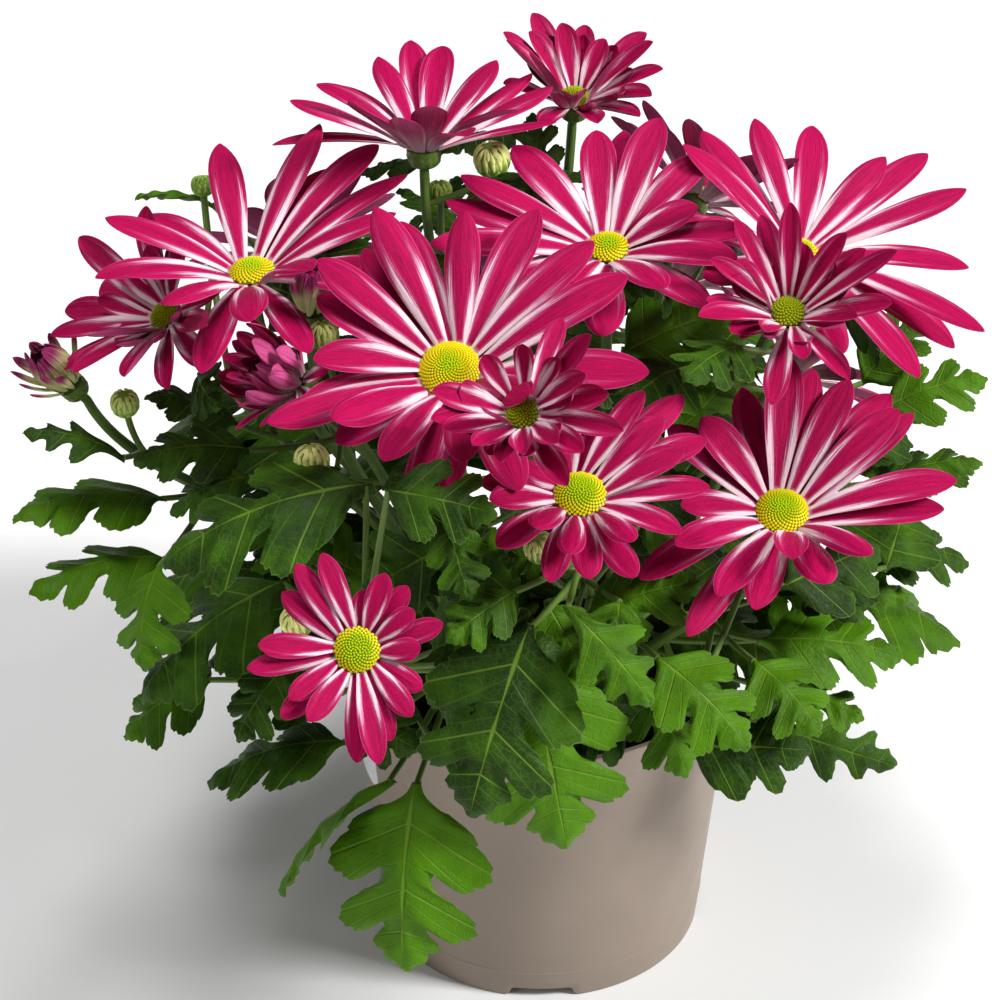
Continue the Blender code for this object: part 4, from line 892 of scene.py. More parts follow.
def leaf_finish():
    """Deep green above with sunk pale veins and a painted highlight along the thin edge, greyer below.
    Low tones darken the green, partly as painted shade.
    """
    finish, tree, surface = new_finish("leaf blade", 0.40)
    across, vein, below, tone = point_values(tree, "across", "vein", "below", "tone")
    aside = reckon(tree, "ABSOLUTE", across)
    midrib = ramp(tree, aside, 0.012, 0.050, 1.0, 0.0)
    from_vein = reckon(tree, "PINGPONG", vein, 0.5)
    narrow = reckon(tree, "MULTIPLY_ADD", aside, -0.026)
    narrow.node.inputs[2].default_value = 0.036
    lateral = reckon(tree, "SUBTRACT", 1.0, reckon(tree, "DIVIDE", from_vein, narrow))
    lateral = ramp(tree, lateral, 0.0, 0.8)
    fine = reckon(tree, "PINGPONG", reckon(tree, "MULTIPLY", vein, 4.0), 0.5)
    fine = ramp(tree, fine, 0.0, 0.09, 0.30, 0.0)
    place = add_node(tree, "ShaderNodeTexCoord").outputs["Object"]
    net = add_node(tree, "ShaderNodeTexVoronoi", {"Vector": place, "Scale": 480.0},
                   feature="DISTANCE_TO_EDGE").outputs["Distance"]
    net = ramp(tree, net, 0.0, 0.10, 0.16, 0.0)
    veins = reckon(tree, "MAXIMUM", midrib, lateral)
    lines = reckon(tree, "MAXIMUM", veins, reckon(tree, "MAXIMUM", fine, net))
    clouds = ramp(tree, mottle(tree, 70.0), 0.30, 0.72, 0.0, 0.6)
    # Darker green for a low tone, partly the leaf's age, partly painted shade; brighter for a high tone,
    # partly painted light
    freshness_and_light = reckon(tree, "ADD", reckon(tree, "MULTIPLY", tone, 0.75), clouds)
    top = blend_colours(tree, ramp(tree, freshness_and_light, -0.1, 1.4), LEAF_DEEP, LEAF_FRESH)
    top = blend_colours(tree, reckon(tree, "MULTIPLY", lines, 0.52), top, LEAF_VEIN)
    # Painted highlight along the thin edge of the blade
    edge = ramp(tree, aside, 0.975, 1.0, 0.0, 0.85)
    top = blend_colours(tree, edge, top, LEAF_EDGE_HIGHLIGHT_AND_UNDER_VEIN)
    under = blend_colours(tree, reckon(tree, "MULTIPLY", lines, 0.6), LEAF_BELOW, LEAF_EDGE_HIGHLIGHT_AND_UNDER_VEIN)
    colour = blend_colours(tree, below, top, under)
    tree.links.new(colour, surface.inputs["Base Color"])
    tree.links.new(ramp(tree, mottle(tree, 120.0), 0.3, 0.7, 0.46, 0.62), surface.inputs["Roughness"])
    surface.inputs["Specular IOR Level"].default_value = 0.14
    relief = reckon(tree, "MULTIPLY", lines, -1.0)
    bumped(tree, surface, reckon(tree, "ADD", relief, mottle(tree, 260.0, 4.0)), 0.60, 0.0008)
    return finish


trees = {}
for plant in PLANTS:
    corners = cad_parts["leafy_stem_%d" % plant].data.vertices
    trees[plant] = KDTree(len(corners))
    for k, corner in enumerate(corners):
        trees[plant].insert(corner.co, k)
    trees[plant].balance()

blades = {plant: [] for plant in PLANTS}


def grow_leaf(plant, kind, width, place, start, tone, columns, skip):
    """Adds a blade, and its stalk from a start on the stem."""
    base, tip, normal = place
    sway = chance.uniform(0, math.tau)
    rings, across, pace, below = blade_rings(kind, width, place, sway, columns, skip)
    blades[plant].append(with_values(rings, across, pace, below, tone)[None])
    sag = (start + base) / 2 - UPRIGHT * np.linalg.norm(base - start) * PETIOLE_SAG
    path = curve((start, sag, base + (tip - base) * PETIOLE_HOLD), columns)
    radii = np.linspace(PETIOLE_RADIUS * PETIOLE_FLARE, PETIOLE_RADIUS, columns)
    rod = sweep(path, radii, np.cross(tip - base, normal), columns)
    stems[plant].append(with_values(rod[None], 0.55))


# Only a leaf whose marks are found on a packed plant is grown
for number, (kind, width, places) in enumerate(leaf_frames()):
    miss, plant, place = grown_place(kind, width, places)
    if miss > MARK_REACH:
        continue
    start = nearest_start(place[0] - UPRIGHT * PETIOLE_DROP, plant)
    # A listed leaf's tone partly paints the light and shade that fall on it
    tone = LEAF_AGE_AND_LIGHT_TONES.get(number, chance.uniform(0, LEAF_TONE_MOST))
    grow_leaf(plant, kind, width, place, start, tone, BLADE_COLUMNS, 1)

# Small inner leaves grow where a line of sight would pass right through the crown. The
# crown is a rounded block, and it is looked at from these sides, in degrees from the front.
CROWN_MIDDLE = np.array((0.0, 0.0, 0.140))
CROWN_HALF = np.array((0.106, 0.102, 0.106))
CROWN_FLOOR = 0.092
CROWN_ROUNDING = 3
SIGHT_HALF = np.array((0.108, 0.108, 0.132))
SIGHT_TURNS = (0, 180, 90, 270, 45, 315, 135, 225)
SIGHT_GAP = 0.008
SIGHT_STEP = 0.008
SIGHT_COVER = 0.0055
SIGHT_SLACK = 0.0001
INNER_SIZES = (0.036, 0.028, 0.021)
# Low tones of the inner leaves, a painted shade for their depth in the crown
INNER_SHADE_TONES = (-0.1, 0.2)
INNER_SWINGS = (0.0, 0.6, -0.6, 1.2, -1.2)
INNER_STALK = (0.006, 0.048)
INNER_CLEARANCE = 0.0018
INNER_SPACING = 0.0034
INNER_REACH = 0.08
INNER_ROLL = 30
INNER_GRID = 7
INNER_COLUMNS = 7


def crown_lines():
    """Lines of sight through the crown: points on an upright plane through its middle, seen
    from each side at the height of the view's eye."""
    away = math.hypot(EYE[0], EYE[1])
    across = np.arange(-CROWN_HALF[0], CROWN_HALF[0], SIGHT_GAP)
    heights = np.arange(CROWN_FLOOR, CROWN_MIDDLE[2] + SIGHT_HALF[2], SIGHT_GAP)
    for turn in np.radians(SIGHT_TURNS):
        eye = np.array((away * math.sin(turn), -away * math.cos(turn), EYE[2]))
        for u in across:
            for height in heights:
                aim = np.array((u * math.cos(turn), u * math.sin(turn), height))
                if (((aim - CROWN_MIDDLE) / SIGHT_HALF) ** 2).sum() < 1:
                    yield eye, aim


def in_crown(point):
    """Whether a point lies in the crown, above its floor."""
    near = (np.abs((point - CROWN_MIDDLE) / CROWN_HALF) ** CROWN_ROUNDING).sum() < 1
    return near and point[2] > CROWN_FLOOR


def blade_spread(place, width):
    """Points all over a blade, inside an oval as wide as its lobes."""
    y = np.repeat(np.linspace(0.02, 0.98, INNER_GRID), INNER_GRID)
    x = np.tile(np.linspace(-1, 1, INNER_GRID), INNER_GRID) * np.sqrt(np.sin(math.pi * y ** 0.9))
    return blade_point(place, width, x * MARKS["broad"][0], y)


def hides_head(points):
    """Whether points of a leaf stand before a flower head in the reference view."""
    for point in points:
        away = np.linalg.norm(point - EYE)
        seen = screen.ray_cast(EYE, unit(point - EYE))[3]
        head = heads.ray_cast(EYE, unit(point - EYE))[3]
        if head is not None and head > away and head - seen < SIGHT_SLACK:
            return True
    return False


def inner_leaf(eye, aim, taken):
    """A place for a small leaf across a line of sight, clear of all that is there."""
    sight = unit(aim - eye)
    if screen.ray_cast(eye, sight)[0] is not None:
        return None
    offset = taken - eye
    if np.linalg.norm(offset - (offset @ sight)[:, None] * sight, axis=1).min() < SIGHT_COVER:
        return None
    for step in chance.permutation(np.arange(-INNER_REACH, INNER_REACH, SIGHT_STEP)):
        middle = aim + sight * step
        found, number, _ = branches.find(middle - UPRIGHT * PETIOLE_DROP)
        start = np.array(found)
        away = middle - start
        if not in_crown(middle) or np.linalg.norm(away) > INNER_STALK[1]:
            continue
        out = unit(away * (1, 1, 0.4) + middle * (0.4, 0.4, 0))
        for size in INNER_SIZES:
            for swing in INNER_SWINGS:
                way = out * math.cos(swing) + np.cross(UPRIGHT, out) * math.sin(swing)
                base = middle - way * size * 0.5
                roll = chance.uniform(-INNER_ROLL, INNER_ROLL)
                place = blade_frame(base, base + way * size, roll)
                if np.linalg.norm(base - start) < INNER_STALK[0] or not in_crown(place[1]):
                    continue
                points = blade_spread(place, 1.0)
                stalk = base + (start - base) * np.linspace(0, 0.6, 4)[:, None]
                gap = np.linalg.norm(points[:, None] - taken[None], axis=2).min()
                if gap < INNER_SPACING:
                    continue
                near = any(barrier.find_nearest(spot, INNER_CLEARANCE)[0] is not None
                           for spot in (*points, *stalk))
                if not near and not hides_head(points):
                    return number, start, place, points
    return None


def as_tree(nodes):
    """The meshes of some nodes as one search tree."""
    corners = []
    faces = []
    for node in nodes:
        first = len(corners)
        corners += [corner.co for corner in node.data.vertices]
        faces += [[first + i for i in face.vertices] for face in node.data.polygons]
    return BVHTree.FromPolygons(corners, faces)


barrier = as_tree(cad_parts.values())
screen = as_tree([node for name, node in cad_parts.items() if name not in ("pot", "soil")])
heads = as_tree([node for name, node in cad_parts.items() if name.startswith("bloom")])
branch_points = [(plant, point) for plant in PLANTS for point in starts[plant]]
branches = KDTree(len(branch_points))
for number, (_, point) in enumerate(branch_points):
    branches.insert(point, number)
branches.balance()
taken = np.array(((0.0, 0.0, 1.0),))
for eye, aim in crown_lines():
    found = inner_leaf(eye, aim, taken)
    if found:
        number, start, place, points = found
        # The inner leaf's low tone is painted shade
        grow_leaf(branch_points[number][0], "broad", 1.0, place, start,
                  chance.uniform(*INNER_SHADE_TONES), INNER_COLUMNS, 2)
        taken = np.concatenate([taken, points])

leaf_blade = leaf_finish()
for plant, groups in blades.items():
    make_piece("blades_%d" % plant, groups, ("across", "vein", "below", "tone"), leaf_blade,
               ["leafy_stem_%d" % plant], 70)

# The buds
# Closed flower buds on thin stalks. Rows of green bracts with pale margins wrap an egg
# shape, and the first cream ray tips fold over its top.
# Cutting, place in the view's pixels, place along Y, radius, and how much cream shows
BUDS = (
    (3, (125, 404), -0.030, 0.0038, 0.4),
    (1, (312, 462), -0.062, 0.0047, 1.0),
    (1, (324, 336), -0.030, 0.0040, 0.5),
    (3, (203, 186), 0.050, 0.0032, 0.2),
    (5, (440, 192), 0.030, 0.0032, 0.3),
    (5, (492, 160), 0.046, 0.0052, 0.8),
    (2, (540, 548), -0.074, 0.0042, 1.0),
    (1, (297, 622), -0.096, 0.0042, 0.9),
)
STALK_HEIGHT = 0.030
STALK_RADIUS = 0.0010
STALK_UPRIGHT = 0.58
# Rows of scales as on a cup, and how creamy they are: the last ones are folded ray tips
BUD_ROWS = (
    (10, 0.02, 0.44, 1.3, 0.00030, 0.0, 0.0),
    (12, 0.16, 0.60, 1.3, 0.00024, 0.3, 0.0),
    (15, 0.32, 0.76, 1.3, 0.00018, 0.1, 0.3),
    (15, 0.42, 0.80, 0.72, 0.00030, 0.2, 1.0),
    (13, 0.56, 0.90, 0.70, 0.00050, 0.5, 1.0),
    (10, 0.68, 0.97, 0.68, 0.00065, 0.8, 1.0),
    (6, 0.82, 1.00, 0.66, 0.00070, 0.1, 1.0),
)
BUD_RINGS = 14
BUD_COLUMNS = 20
LUMP_THICKNESS = 0.00042
STALK_STEPS = 18
STALK_AROUND = 12
STALK_RIBS = 4
STALK_RIB_DEPTH = 0.06
BRACT_GREEN = (0.140, 0.290, 0.028)
BRACT_PALE = (0.520, 0.640, 0.150)
BUD_CREAM = (0.940, 0.950, 0.340)


def egg(part, radius):
    """Radius and depth of a bud. Part 0 is its foot and part 1 its top."""
    angle = part * math.pi * 0.94 + 0.10
    return radius * 0.96 * np.sin(angle) ** 0.85, radius * np.cos(angle)


def bud_groups(radius, frame_of, cream):
    """The egg with rows of bracts, and ray tips folded over its top."""
    middle, axis, right, up = frame_of

    def shape(part):
        return egg(np.clip(part, 0, 1), radius)

    part = np.linspace(0, 1, BUD_RINGS)
    wide, depth = shape(part)
    body = turned_form(middle, axis, right, up, wide, depth, BUD_COLUMNS)
    # The egg under the scales takes little cream, so the gaps between them show darker green: partly the
    # bud's green core, partly painted shade
    groups = [with_values(body[None], 0.3, 0.35 * cream * part[:, None])]
    along = np.linspace(0, 1, SCALE_ROWS)[None, :, None]
    for *row, share in BUD_ROWS:
        thick = LUMP_THICKNESS if share == 1.0 else SCALE_THICKNESS
        rings = scales(middle, right, up, axis, shape, row, thick)
        groups.append(with_values(rings, 0.2 + 0.8 * along ** 1.5, share * cream))
    return groups


def bud_finish():
    """Bracts with pale tips, and cream rays where the bud opens."""
    finish, tree, surface = new_finish("bud bracts", 0.55)
    pale, cream = point_values(tree, "pale", "cream")
    green = blend_colours(tree, ramp(tree, pale, 0.45, 1.0), BRACT_GREEN, BRACT_PALE)
    colour = blend_colours(tree, ramp(tree, cream, 0.1, 0.8), green, BUD_CREAM)
    shade = ramp(tree, mottle(tree, 600.0), 0.3, 0.7, 0.0, 0.22)
    tree.links.new(blend_colours(tree, shade, colour, BRACT_GREEN), surface.inputs["Base Color"])
    surface.inputs["Specular IOR Level"].default_value = 0.15
    return finish


bud_skin = bud_finish()
for number, (plant, pixel, depth, radius, cream) in enumerate(BUDS, 1):
    middle = seen_point(pixel, depth)
    start = nearest_start(middle - UPRIGHT * STALK_HEIGHT, plant)
    rise = unit(middle - start)
    axis = unit(rise + (UPRIGHT - rise) * STALK_UPRIGHT)
    base = middle - axis * radius
    bend = base - axis * np.linalg.norm(base - start) * 0.4
    path = curve((start, bend, base + axis * radius * 0.3), STALK_STEPS)
    radii = np.full(STALK_STEPS, STALK_RADIUS)
    rod = sweep(path, radii, level_reference(path), STALK_AROUND, STALK_RIBS, STALK_RIB_DEPTH)
    stems[plant].append(with_values(rod[None], 0.4))
    right = unit(np.array((1.0, 0, 0)) - axis * axis[0])
    frame_of = (middle, axis, right, np.cross(axis, right))
    make_piece("bud_%d" % number, bud_groups(radius, frame_of, cream), ("pale", "cream"),
               bud_skin, ["leafy_stem_%d" % plant])

stem_green = stem_finish()
for plant, groups in stems.items():
    make_piece("stems_%d" % plant, groups, ("pale",), stem_green,
               ["leafy_stem_%d" % plant])

# The discs
# The yellow-green middle of an open head: hundreds of tiny tube florets in two sets of
# spirals. Those at the rim have opened to five-pointed yellow stars, and those in the
# middle are green buds.
DISC_DOME = 0.42
DISC_WIDTH_OPEN = 0.98
DISC_WIDTH_YOUNG = 0.86
DOME_POWER = 2.4
DOME_RINGS = 12
DOME_COLUMNS = 32
FLORET_SPACING = 0.00075
FLORET_PACKING = 3.1
FLORET_SPREAD = 0.98
FLORET_COLUMNS = 10
GOLDEN_TURN = math.pi * (3 - math.sqrt(5))
# How green a disc still is: 1 for a young one, below 0 for one that is ripe all over
DISC_YOUTH = {"bloom_01": -0.45, "bloom_02": -0.25, "bloom_05": -0.15, "bloom_09": 0.30,
              "bloom_10": 0.12, "bloom_11": 0.42}
DISC_GREEN = (0.430, 0.590, 0.002)
DISC_YELLOW = (0.760, 0.640, 0.004)
# Dark green of a young disc, also the painted shade between the florets
DISC_DARK_GREEN_AND_SHADE = (0.200, 0.220, 0.002)


def disc_form(name):
    """Whether a disc is young, its radius and the height of its dome."""
    young = HEADS[name][5] != "open"
    size = HEADS[name][4]
    return young, size * (DISC_WIDTH_YOUNG if young else DISC_WIDTH_OPEN), size * DISC_DOME


def floret_rings(name):
    """Florets on a dome, laid out by the golden angle. Each is a small turned tube with
    five points: radius = half spacing * outline(height) * (1 + star * cos(5 * angle))."""
    middle, axis, right, up = head_frame(name)
    young, radius, dome = disc_form(name)
    count = int((radius / FLORET_SPACING) ** 2 * FLORET_PACKING)
    number = np.arange(count) + 0.5
    out = np.sqrt(number / count)
    turn = number * GOLDEN_TURN
    reach = radius * out * FLORET_SPREAD
    rise = SEAT_GAP + dome * (1 - out ** DOME_POWER)
    lean = unit(spokes(right, up, turn))
    foot = middle + lean * reach[:, None] + axis * rise[:, None]
    stand = unit(axis + lean * (out ** 2 * 0.9)[:, None])
    side = unit(np.cross(stand, lean))
    other = np.cross(side, stand)
    opened = np.clip((out - 0.55) / 0.3, 0, 1) * (0.2 if young else 1.0)
    angle = full_turn(FLORET_COLUMNS)
    level = np.array((-0.5, 0.75, 1.25))
    closed_form = np.array((0.90, 0.95, 0.20))
    open_form = np.array((0.70, 1.12, 0.30))
    form = closed_form + (open_form - closed_form) * opened[:, None]
    star = np.array((0.0, 0.26, 0.20)) * (0.4 + 0.6 * opened[:, None])
    height = level * (0.75 + 0.30 * opened[:, None]) * FLORET_SPACING
    height[:, 2] -= 0.50 * opened * FLORET_SPACING
    wide = FLORET_SPACING * 0.50 * form[..., None] * (1 + star[..., None] * np.cos(5 * angle))
    around = spokes(side[:, None], other[:, None], angle)
    rings = (foot[:, None, None] + stand[:, None, None] * height[..., None, None]
             + around[:, None] * wide[..., None])
    return with_values(rings, out[:, None, None], level[:, None] + 0 * angle,
                       DISC_YOUTH.get(name, float(young)))


def dome_rings(name):
    """The dome under the florets."""
    middle, axis, right, up = head_frame(name)
    young, radius, dome = disc_form(name)
    out = np.linspace(1, 0.05, DOME_RINGS)
    rise = SEAT_GAP + dome * (1 - out ** DOME_POWER)
    out = np.concatenate([[0.3], out])
    rise = np.concatenate([[SEAT_GAP], rise])
    rings = turned_form(middle, axis, right, up, out * radius, -rise, DOME_COLUMNS)
    return with_values(rings, out[:, None], -0.6, DISC_YOUTH.get(name, float(young)))[None]


def disc_finish():
    """Green in the middle to yellow at the rim, with painted shade darkening the floret bases and the
    dome between them; young discs are darker green.
    """
    finish, tree, surface = new_finish("disc florets", 0.55)
    out, level, young = point_values(tree, "out", "level", "young")
    ripe = ramp(tree, reckon(tree, "SUBTRACT", out, reckon(tree, "MULTIPLY", young, 0.45)), 0.30, 0.90)
    colour = blend_colours(tree, ripe, DISC_GREEN, DISC_YELLOW)
    # Painted shade: darker low on the florets and on the dome between them
    deep = ramp(tree, level, -0.3, 0.8, 0.70, 0.0)
    colour = blend_colours(tree, deep, colour, DISC_DARK_GREEN_AND_SHADE)
    colour = blend_colours(tree, ramp(tree, young, 0.2, 1.0, 0.0, 0.60), colour, DISC_DARK_GREEN_AND_SHADE)
    tree.links.new(colour, surface.inputs["Base Color"])
    surface.inputs["Specular IOR Level"].default_value = 0.15
    return finish


disc_skin = disc_finish()
for name, head in HEADS.items():
    if name + "_disc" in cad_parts:
        make_piece(name + "_florets", [dome_rings(name), floret_rings(name)],
                   ("out", "level", "young"), disc_skin, [name + "_disc"])

# The rays
# The petals of a head: thin crimson straps with a blunt tip. White streaks run from the
# foot along both edges and fade before the tip. Below they are a dull pink with a whitish
# foot. Each one grows from the rim of the head's green cup.
RAY_VALUES = ("across", "along", "below", "tone", "youth")
RAY_STATIONS = {10: (0.42, 0.92), 6: (0.72, 0.96)}
CORE_MARGIN = 1.08
CORE_HALF_HEIGHT = 0.002
RAY_ROWS = 17
RAY_COLUMNS = 9
RAY_THICKNESS = 0.00042
RAY_FOOT = 0.34
RAY_WIDEST = 0.66
# How much a ray is cupped, and how far its tip curls up, for each kind of head
RAY_CUPS = {"open": (-0.36, 0.34), "young": (0.25, 0.75), "closed": (0.15, 0.60), "pale": (0.10, 0.50)}
RAY_CURLS = {"open": (-0.034, 0.034), "young": (0.0, 0.09), "closed": (0.0, 0.05), "pale": (0.0, 0.05)}
RAY_YOUTH = {"open": 0.0, "young": 0.15, "closed": 0.35, "pale": 1.0}
RAY_WIDTHS = (0.86, 1.04)
RAY_TWIST = 0.24
RAY_RIDGE = 0.00026
# The rings of inner rays in a head that is not fully open: count, distance of foot and of
# tip from the axis, height, swelling and half width, in sizes of the head's cup
HALF_OPEN_RINGS = (
    (12, 0.95, 0.75, 3.3, 0.42, 0.40),
    (9, 0.65, 0.45, 2.9, 0.36, 0.38),
    (5, 0.30, 0.15, 2.4, 0.22, 0.34),
)
INNER_RAY_GAP = 0.0022
INNER_RAY_HEIGHTS = (0.85, 1.1)
INNER_RINGS = {
    "young": ((9, 1.08, 3.4, 2.3, 0.30, 0.66),),
    "closed": ((9, 1.00, 2.4, 3.6, 0.60, 0.62), *HALF_OPEN_RINGS),
    "pale": HALF_OPEN_RINGS,
}
RAY_CRIMSON = (0.500, 0.0010, 0.082)
RAY_DEEP = (0.210, 0.0010, 0.042)
RAY_WHITE = (0.860, 0.660, 0.720)
# Pink of the underside, also the painted highlight along the edges above
RAY_PINK_AND_RIM_HIGHLIGHT = (0.620, 0.120, 0.300)
RAY_BELOW = (0.480, 0.045, 0.180)
RAY_HAZE = (0.560, 0.130, 0.330)
RAY_CREAM = (0.700, 0.700, 0.330)
RAY_PURPLE = (0.310, 0.030, 0.130)


def ray_bones(name):
    """Root, tip, bulge and half width of each ray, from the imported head. Its corners
    outside the small round core fall into one group for each ray; the core corners that a
    group is joined to are its root, and its two farthest corners are the tip."""
    middle, axis, _, _ = head_frame(name)
    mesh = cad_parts[name + "_rays"].data
    places = np.empty(len(mesh.vertices) * 3, np.float32)
    mesh.vertices.foreach_get("co", places)
    places = places.reshape(-1, 3).astype(float)
    keys, same = np.unique(np.round(places, 5), axis=0, return_inverse=True)
    same = same.reshape(-1)
    core_radius = HEADS[name][4] * RECEPTACLE_WIDTH
    away = keys - middle
    height = away @ axis
    flat = np.linalg.norm(away - height[:, None] * axis, axis=1)
    in_core = (flat < core_radius * CORE_MARGIN) & (np.abs(height) < CORE_HALF_HEIGHT)
    joined = {i: set() for i in range(len(keys))}
    for face in mesh.polygons:
        corners = [same[i] for i in face.vertices]
        for i in corners:
            joined[i].update(corners)
    left = {i for i in range(len(keys)) if not in_core[i]}
    bones = []
    while left:
        group = set()
        front = {min(left)}
        while front:
            group |= front
            front = {j for i in front for j in joined[i] if not in_core[j]} - group
        left -= group
        core = {j for i in group for j in joined[i] if in_core[j]}
        if len(group) not in RAY_STATIONS or len(core) < 3:
            continue
        root = keys[list(core)].mean(axis=0)
        far = sorted(group, key=lambda i: np.linalg.norm(keys[i] - root))
        tip = keys[far[-2:]].mean(axis=0)
        along, part = RAY_STATIONS[len(group)]
        station = keys[far[:4]]
        bulge = (station.mean(axis=0) - root - (tip - root) * along) / (4 * along * (1 - along))
        side = unit(np.cross(axis, unit(tip - root)))
        half = np.abs((station - station.mean(axis=0)) @ side).max() / part
        bones.append((root, tip, bulge, side, half))
    return [np.array(column) for column in zip(*bones)]


def inner_bones(name):
    """Root, tip, bulge, side and half width of the inner rays of a head that is not fully
    open. They stand up in rings, and lean together over the middle of a half-open one. A
    ray that leans out isn't grown where it would meet another head or a leaf."""
    middle, axis, right, up = head_frame(name)
    size = HEADS[name][4]
    others = as_tree([node for key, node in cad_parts.items() if not key.startswith(name)])
    bones = []
    for count, foot, lean, height, swell, half in INNER_RINGS[HEADS[name][5]]:
        for i in range(count):
            turn = math.tau * (i + foot) / count
            spoke = right * math.cos(turn) + up * math.sin(turn)
            root = middle + spoke * size * foot
            tip = middle + (spoke * lean + axis * height * chance.uniform(*INNER_RAY_HEIGHTS)) * size
            spots = root + (tip - root) * np.linspace(0.4, 1.1, 6)[:, None]
            meets = any(others.find_nearest(spot, INNER_RAY_GAP)[0] is not None for spot in spots)
            if lean > foot and meets:
                continue
            bones.append((root, tip, spoke * size * swell, np.cross(axis, spoke), half * size))
    return [np.array(column) for column in zip(*bones)]


def ray_rings(name, bones):
    """Straps along a parabola from root to tip. Half width = widest * (foot + (1 - foot) *
    sine) * rounded end; across it the strap is cupped by a square law and has two ridges;
    the ring runs over the top from edge to edge and back below."""
    root, tip, bulge, side, half = bones

    def drawn(low, high):
        return chance.uniform(low, high, len(root))[:, None, None]

    along = np.sin(np.linspace(0.0, 1.0, RAY_ROWS) * math.pi / 2)[None, :, None]
    over = np.linspace(-1, 1, RAY_COLUMNS)
    across = np.concatenate([over, over[-2:0:-1]])[None, None, :]
    below = (np.arange(across.size) >= RAY_COLUMNS)[None, None, :]
    chord = tip - root
    length = np.linalg.norm(chord, axis=1)[:, None, None]
    line = (root[:, None] + chord[:, None] * along[..., None][:, :, 0]
            + bulge[:, None] * (4 * along * (1 - along))[..., None][:, :, 0])
    ahead = unit(chord[:, None] + bulge[:, None] * (4 - 8 * along)[..., None][:, :, 0])
    normal = np.cross(ahead, side[:, None])
    grow = RAY_FOOT + (1 - RAY_FOOT) * np.sin(np.clip(along / RAY_WIDEST, 0, 1) * math.pi / 2) ** 1.2
    end = (1 - np.clip((along - RAY_WIDEST) / (1.002 - RAY_WIDEST), 0, 1) ** 2.4) ** 0.70
    kind = HEADS[name][5]
    wide = half[:, None, None] * grow * end * drawn(*RAY_WIDTHS)
    cup = drawn(*RAY_CUPS[kind])
    twist = drawn(-RAY_TWIST, RAY_TWIST) * along ** 1.5
    curl = drawn(*RAY_CURLS[kind]) * along ** 3 * length
    ridge = RAY_RIDGE * np.cos(across * 3 * math.pi) * np.clip(wide / half[:, None, None], 0, 1)
    thick = RAY_THICKNESS / 2 * (1 - across ** 4) * (0.35 + 0.65 * end)
    lifted = wide * (cup * across ** 2 + twist * across) + curl + ridge
    lifted = lifted + np.where(below, -thick, thick)
    rings = (line[:, :, None] + side[:, None, None] * (wide * across)[..., None]
             + normal[:, :, None] * lifted[..., None])
    return with_values(rings, across, along, below * 1.0, drawn(0, 1), RAY_YOUTH[kind])


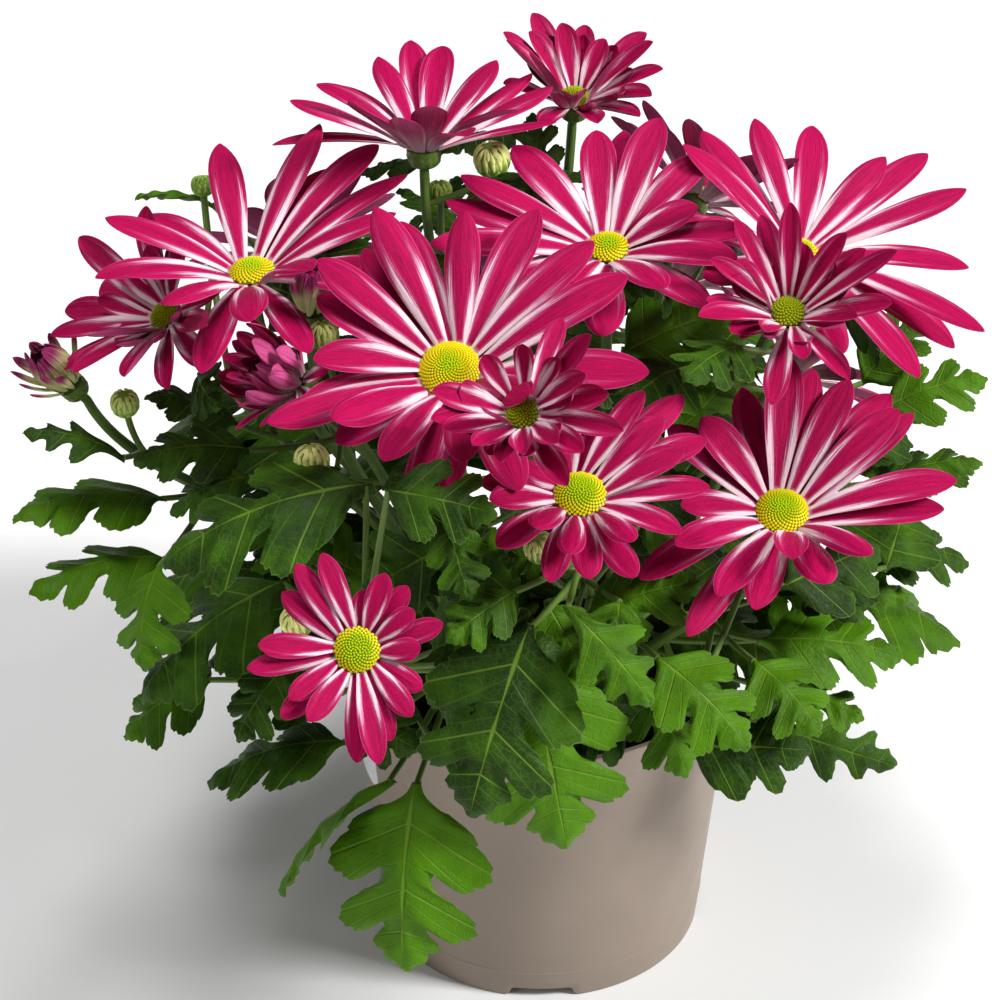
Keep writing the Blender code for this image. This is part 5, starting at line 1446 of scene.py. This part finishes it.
def ray_finish():
    """Crimson with white streaks beside the edges that start at the foot, fine lengthwise lines, a
    painted pink highlight along the edges, and a duller pink below. Young rays keep more cream."""
    finish, tree, surface = new_finish("crimson rays", 0.58)
    across, along, below, tone, youth = point_values(tree, *RAY_VALUES)
    lane = reckon(tree, "MULTIPLY", across, 9.0)
    far = reckon(tree, "MULTIPLY", along, 1.4)
    place = add_node(tree, "ShaderNodeCombineXYZ",
                     {"X": lane, "Y": far, "Z": reckon(tree, "MULTIPLY", tone, 40.0)}).outputs[0]
    streak = add_node(tree, "ShaderNodeTexNoise",
                      {"Vector": place, "Scale": 2.2, "Detail": 5.0, "Roughness": 0.65}).outputs["Fac"]
    aside = reckon(tree, "ABSOLUTE", across)
    wander = reckon(tree, "MULTIPLY", reckon(tree, "SUBTRACT", streak, 0.5), 0.80)
    middle = ramp(tree, along, 0.0, 0.8, 0.82, 0.64)
    from_lane = reckon(tree, "ABSOLUTE", reckon(tree, "SUBTRACT", aside, middle))
    further = reckon(tree, "ADD", along, reckon(tree, "MULTIPLY", tone, 0.16))
    reach = ramp(tree, further, 0.02, 1.05, 0.48, -0.08)
    reach = reckon(tree, "ADD", reach, reckon(tree, "MULTIPLY", youth, 0.25))
    margin = reckon(tree, "SUBTRACT", reckon(tree, "ADD", reach, wander), from_lane)
    white = ramp(tree, margin, 0.0, 0.24)
    fade = ramp(tree, along, 0.40, 0.95, 1.0, 0.15)
    white = reckon(tree, "MULTIPLY", white, fade)
    white = reckon(tree, "MAXIMUM", white, ramp(tree, along, 0.0, 0.06, 0.9, 0.0))
    cells = add_node(tree, "ShaderNodeTexNoise",
                     {"Vector": place, "Scale": 9.0, "Detail": 3.0, "Roughness": 0.6}).outputs["Fac"]
    deep = ramp(tree, reckon(tree, "ADD", streak, cells), 0.80, 1.18, 0.85, 0.0)
    top = blend_colours(tree, deep, RAY_CRIMSON, RAY_DEEP)
    haze = ramp(tree, reckon(tree, "ADD", margin, 0.20), 0.0, 0.45, 0.0, 0.62)
    haze = reckon(tree, "MULTIPLY", haze, ramp(tree, along, 0.55, 1.0, 1.0, 0.35))
    top = blend_colours(tree, haze, top, RAY_HAZE)
    top = blend_colours(tree, white, top, RAY_WHITE)
    # Painted pink highlight along the ray's edges
    rim_highlight = ramp(tree, aside, 0.93, 1.0, 0.0, 0.55)
    top = blend_colours(tree, rim_highlight, top, RAY_PINK_AND_RIM_HIGHLIGHT)
    under = blend_colours(tree, ramp(tree, streak, 0.35, 0.7), RAY_BELOW, RAY_PINK_AND_RIM_HIGHLIGHT)
    under = blend_colours(tree, ramp(tree, along, 0.0, 0.45, 0.70, 0.0), under, RAY_WHITE)
    colour = blend_colours(tree, below, top, under)
    tips = ramp(tree, along, 0.45, 0.85)
    bud_colour = blend_colours(tree, tips, RAY_CREAM, RAY_PURPLE)
    colour = blend_colours(tree, ramp(tree, youth, 0.6, 1.0), colour, bud_colour)
    tree.links.new(colour, surface.inputs["Base Color"])
    surface.inputs["Specular IOR Level"].default_value = 0.10
    grain = reckon(tree, "ADD", streak, reckon(tree, "MULTIPLY", mottle(tree, 900.0, 3.0), 0.5))
    bumped(tree, surface, grain, 0.60, 0.0006)
    return finish


ray_skin = ray_finish()
for name in HEADS:
    make_piece(name + "_petals", [ray_rings(name, ray_bones(name))], RAY_VALUES, ray_skin,
               [name + "_rays"])
for name in HEADS:
    if HEADS[name][5] in INNER_RINGS:
        make_piece(name + "_inner", [ray_rings(name, inner_bones(name))], RAY_VALUES, ray_skin,
                   [name + "_rays"])

# The studio
# A plain pale floor, a soft key light from the front right, a broad fill from the left and
# a light sky. The camera looks down at the plant from the front.
FLOOR_SIZE = 6.0
FLOOR_WHITE = (0.86, 0.86, 0.86)
SENSOR_WIDTH = 36.0
LENS = VIEW_FOCAL / (2 * VIEW_MIDDLE) * SENSOR_WIDTH
LIGHT_AIM = (0, 0, 0.15)
SKY_STRENGTH = 0.13
LIGHTS = (
    ("key", (2.60, -0.98, 2.45), 0.85, 160.0),
    ("fill", (-2.30, -1.70, 2.00), 1.60, 14.0),
    ("top", (-0.35, 0.10, 3.35), 1.20, 62.0),
)


def add_light(name, place, size, power):
    """A square soft light that looks at the middle of the plant."""
    light = bpy.data.lights.new(name, "AREA")
    light.size = size
    light.energy = power
    lamp = bpy.data.objects.new(name, light)
    lamp.location = place
    lamp.rotation_euler = (Vector(LIGHT_AIM) - Vector(place)).to_track_quat("-Z", "Y").to_euler()
    bpy.context.scene.collection.objects.link(lamp)


for light in LIGHTS:
    add_light(*light)

half = FLOOR_SIZE / 2
floor_mesh = bpy.data.meshes.new("floor")
floor_mesh.from_pydata([(-half, -half, 0), (half, -half, 0), (half, half, 0), (-half, half, 0)], [],
                       [(0, 1, 2, 3)])
floor_paint, _, floor_surface = new_finish("studio floor", 0.9)
floor_surface.inputs["Base Color"].default_value = (*FLOOR_WHITE, 1.0)
floor_mesh.materials.append(floor_paint)
floor = bpy.data.objects.new("floor", floor_mesh)
bpy.context.scene.collection.objects.link(floor)

sky = bpy.data.worlds.new("studio sky")
bpy.context.scene.world = sky
sky.use_nodes = True
glow = sky.node_tree.nodes["Background"]
glow.inputs["Color"].default_value = (1.0, 1.0, 1.0, 1.0)
glow.inputs["Strength"].default_value = SKY_STRENGTH

camera = bpy.data.cameras.new("camera")
camera.lens = LENS
camera.sensor_width = SENSOR_WIDTH
camera.clip_start = 0.05
viewer = bpy.data.objects.new("camera", camera)
viewer.location = EYE
viewer.rotation_euler = (math.pi / 2 - LOOK_DOWN, 0, 0)
bpy.context.scene.collection.objects.link(viewer)
bpy.context.scene.camera = viewer
bpy.context.scene.view_settings.view_transform = "Standard"
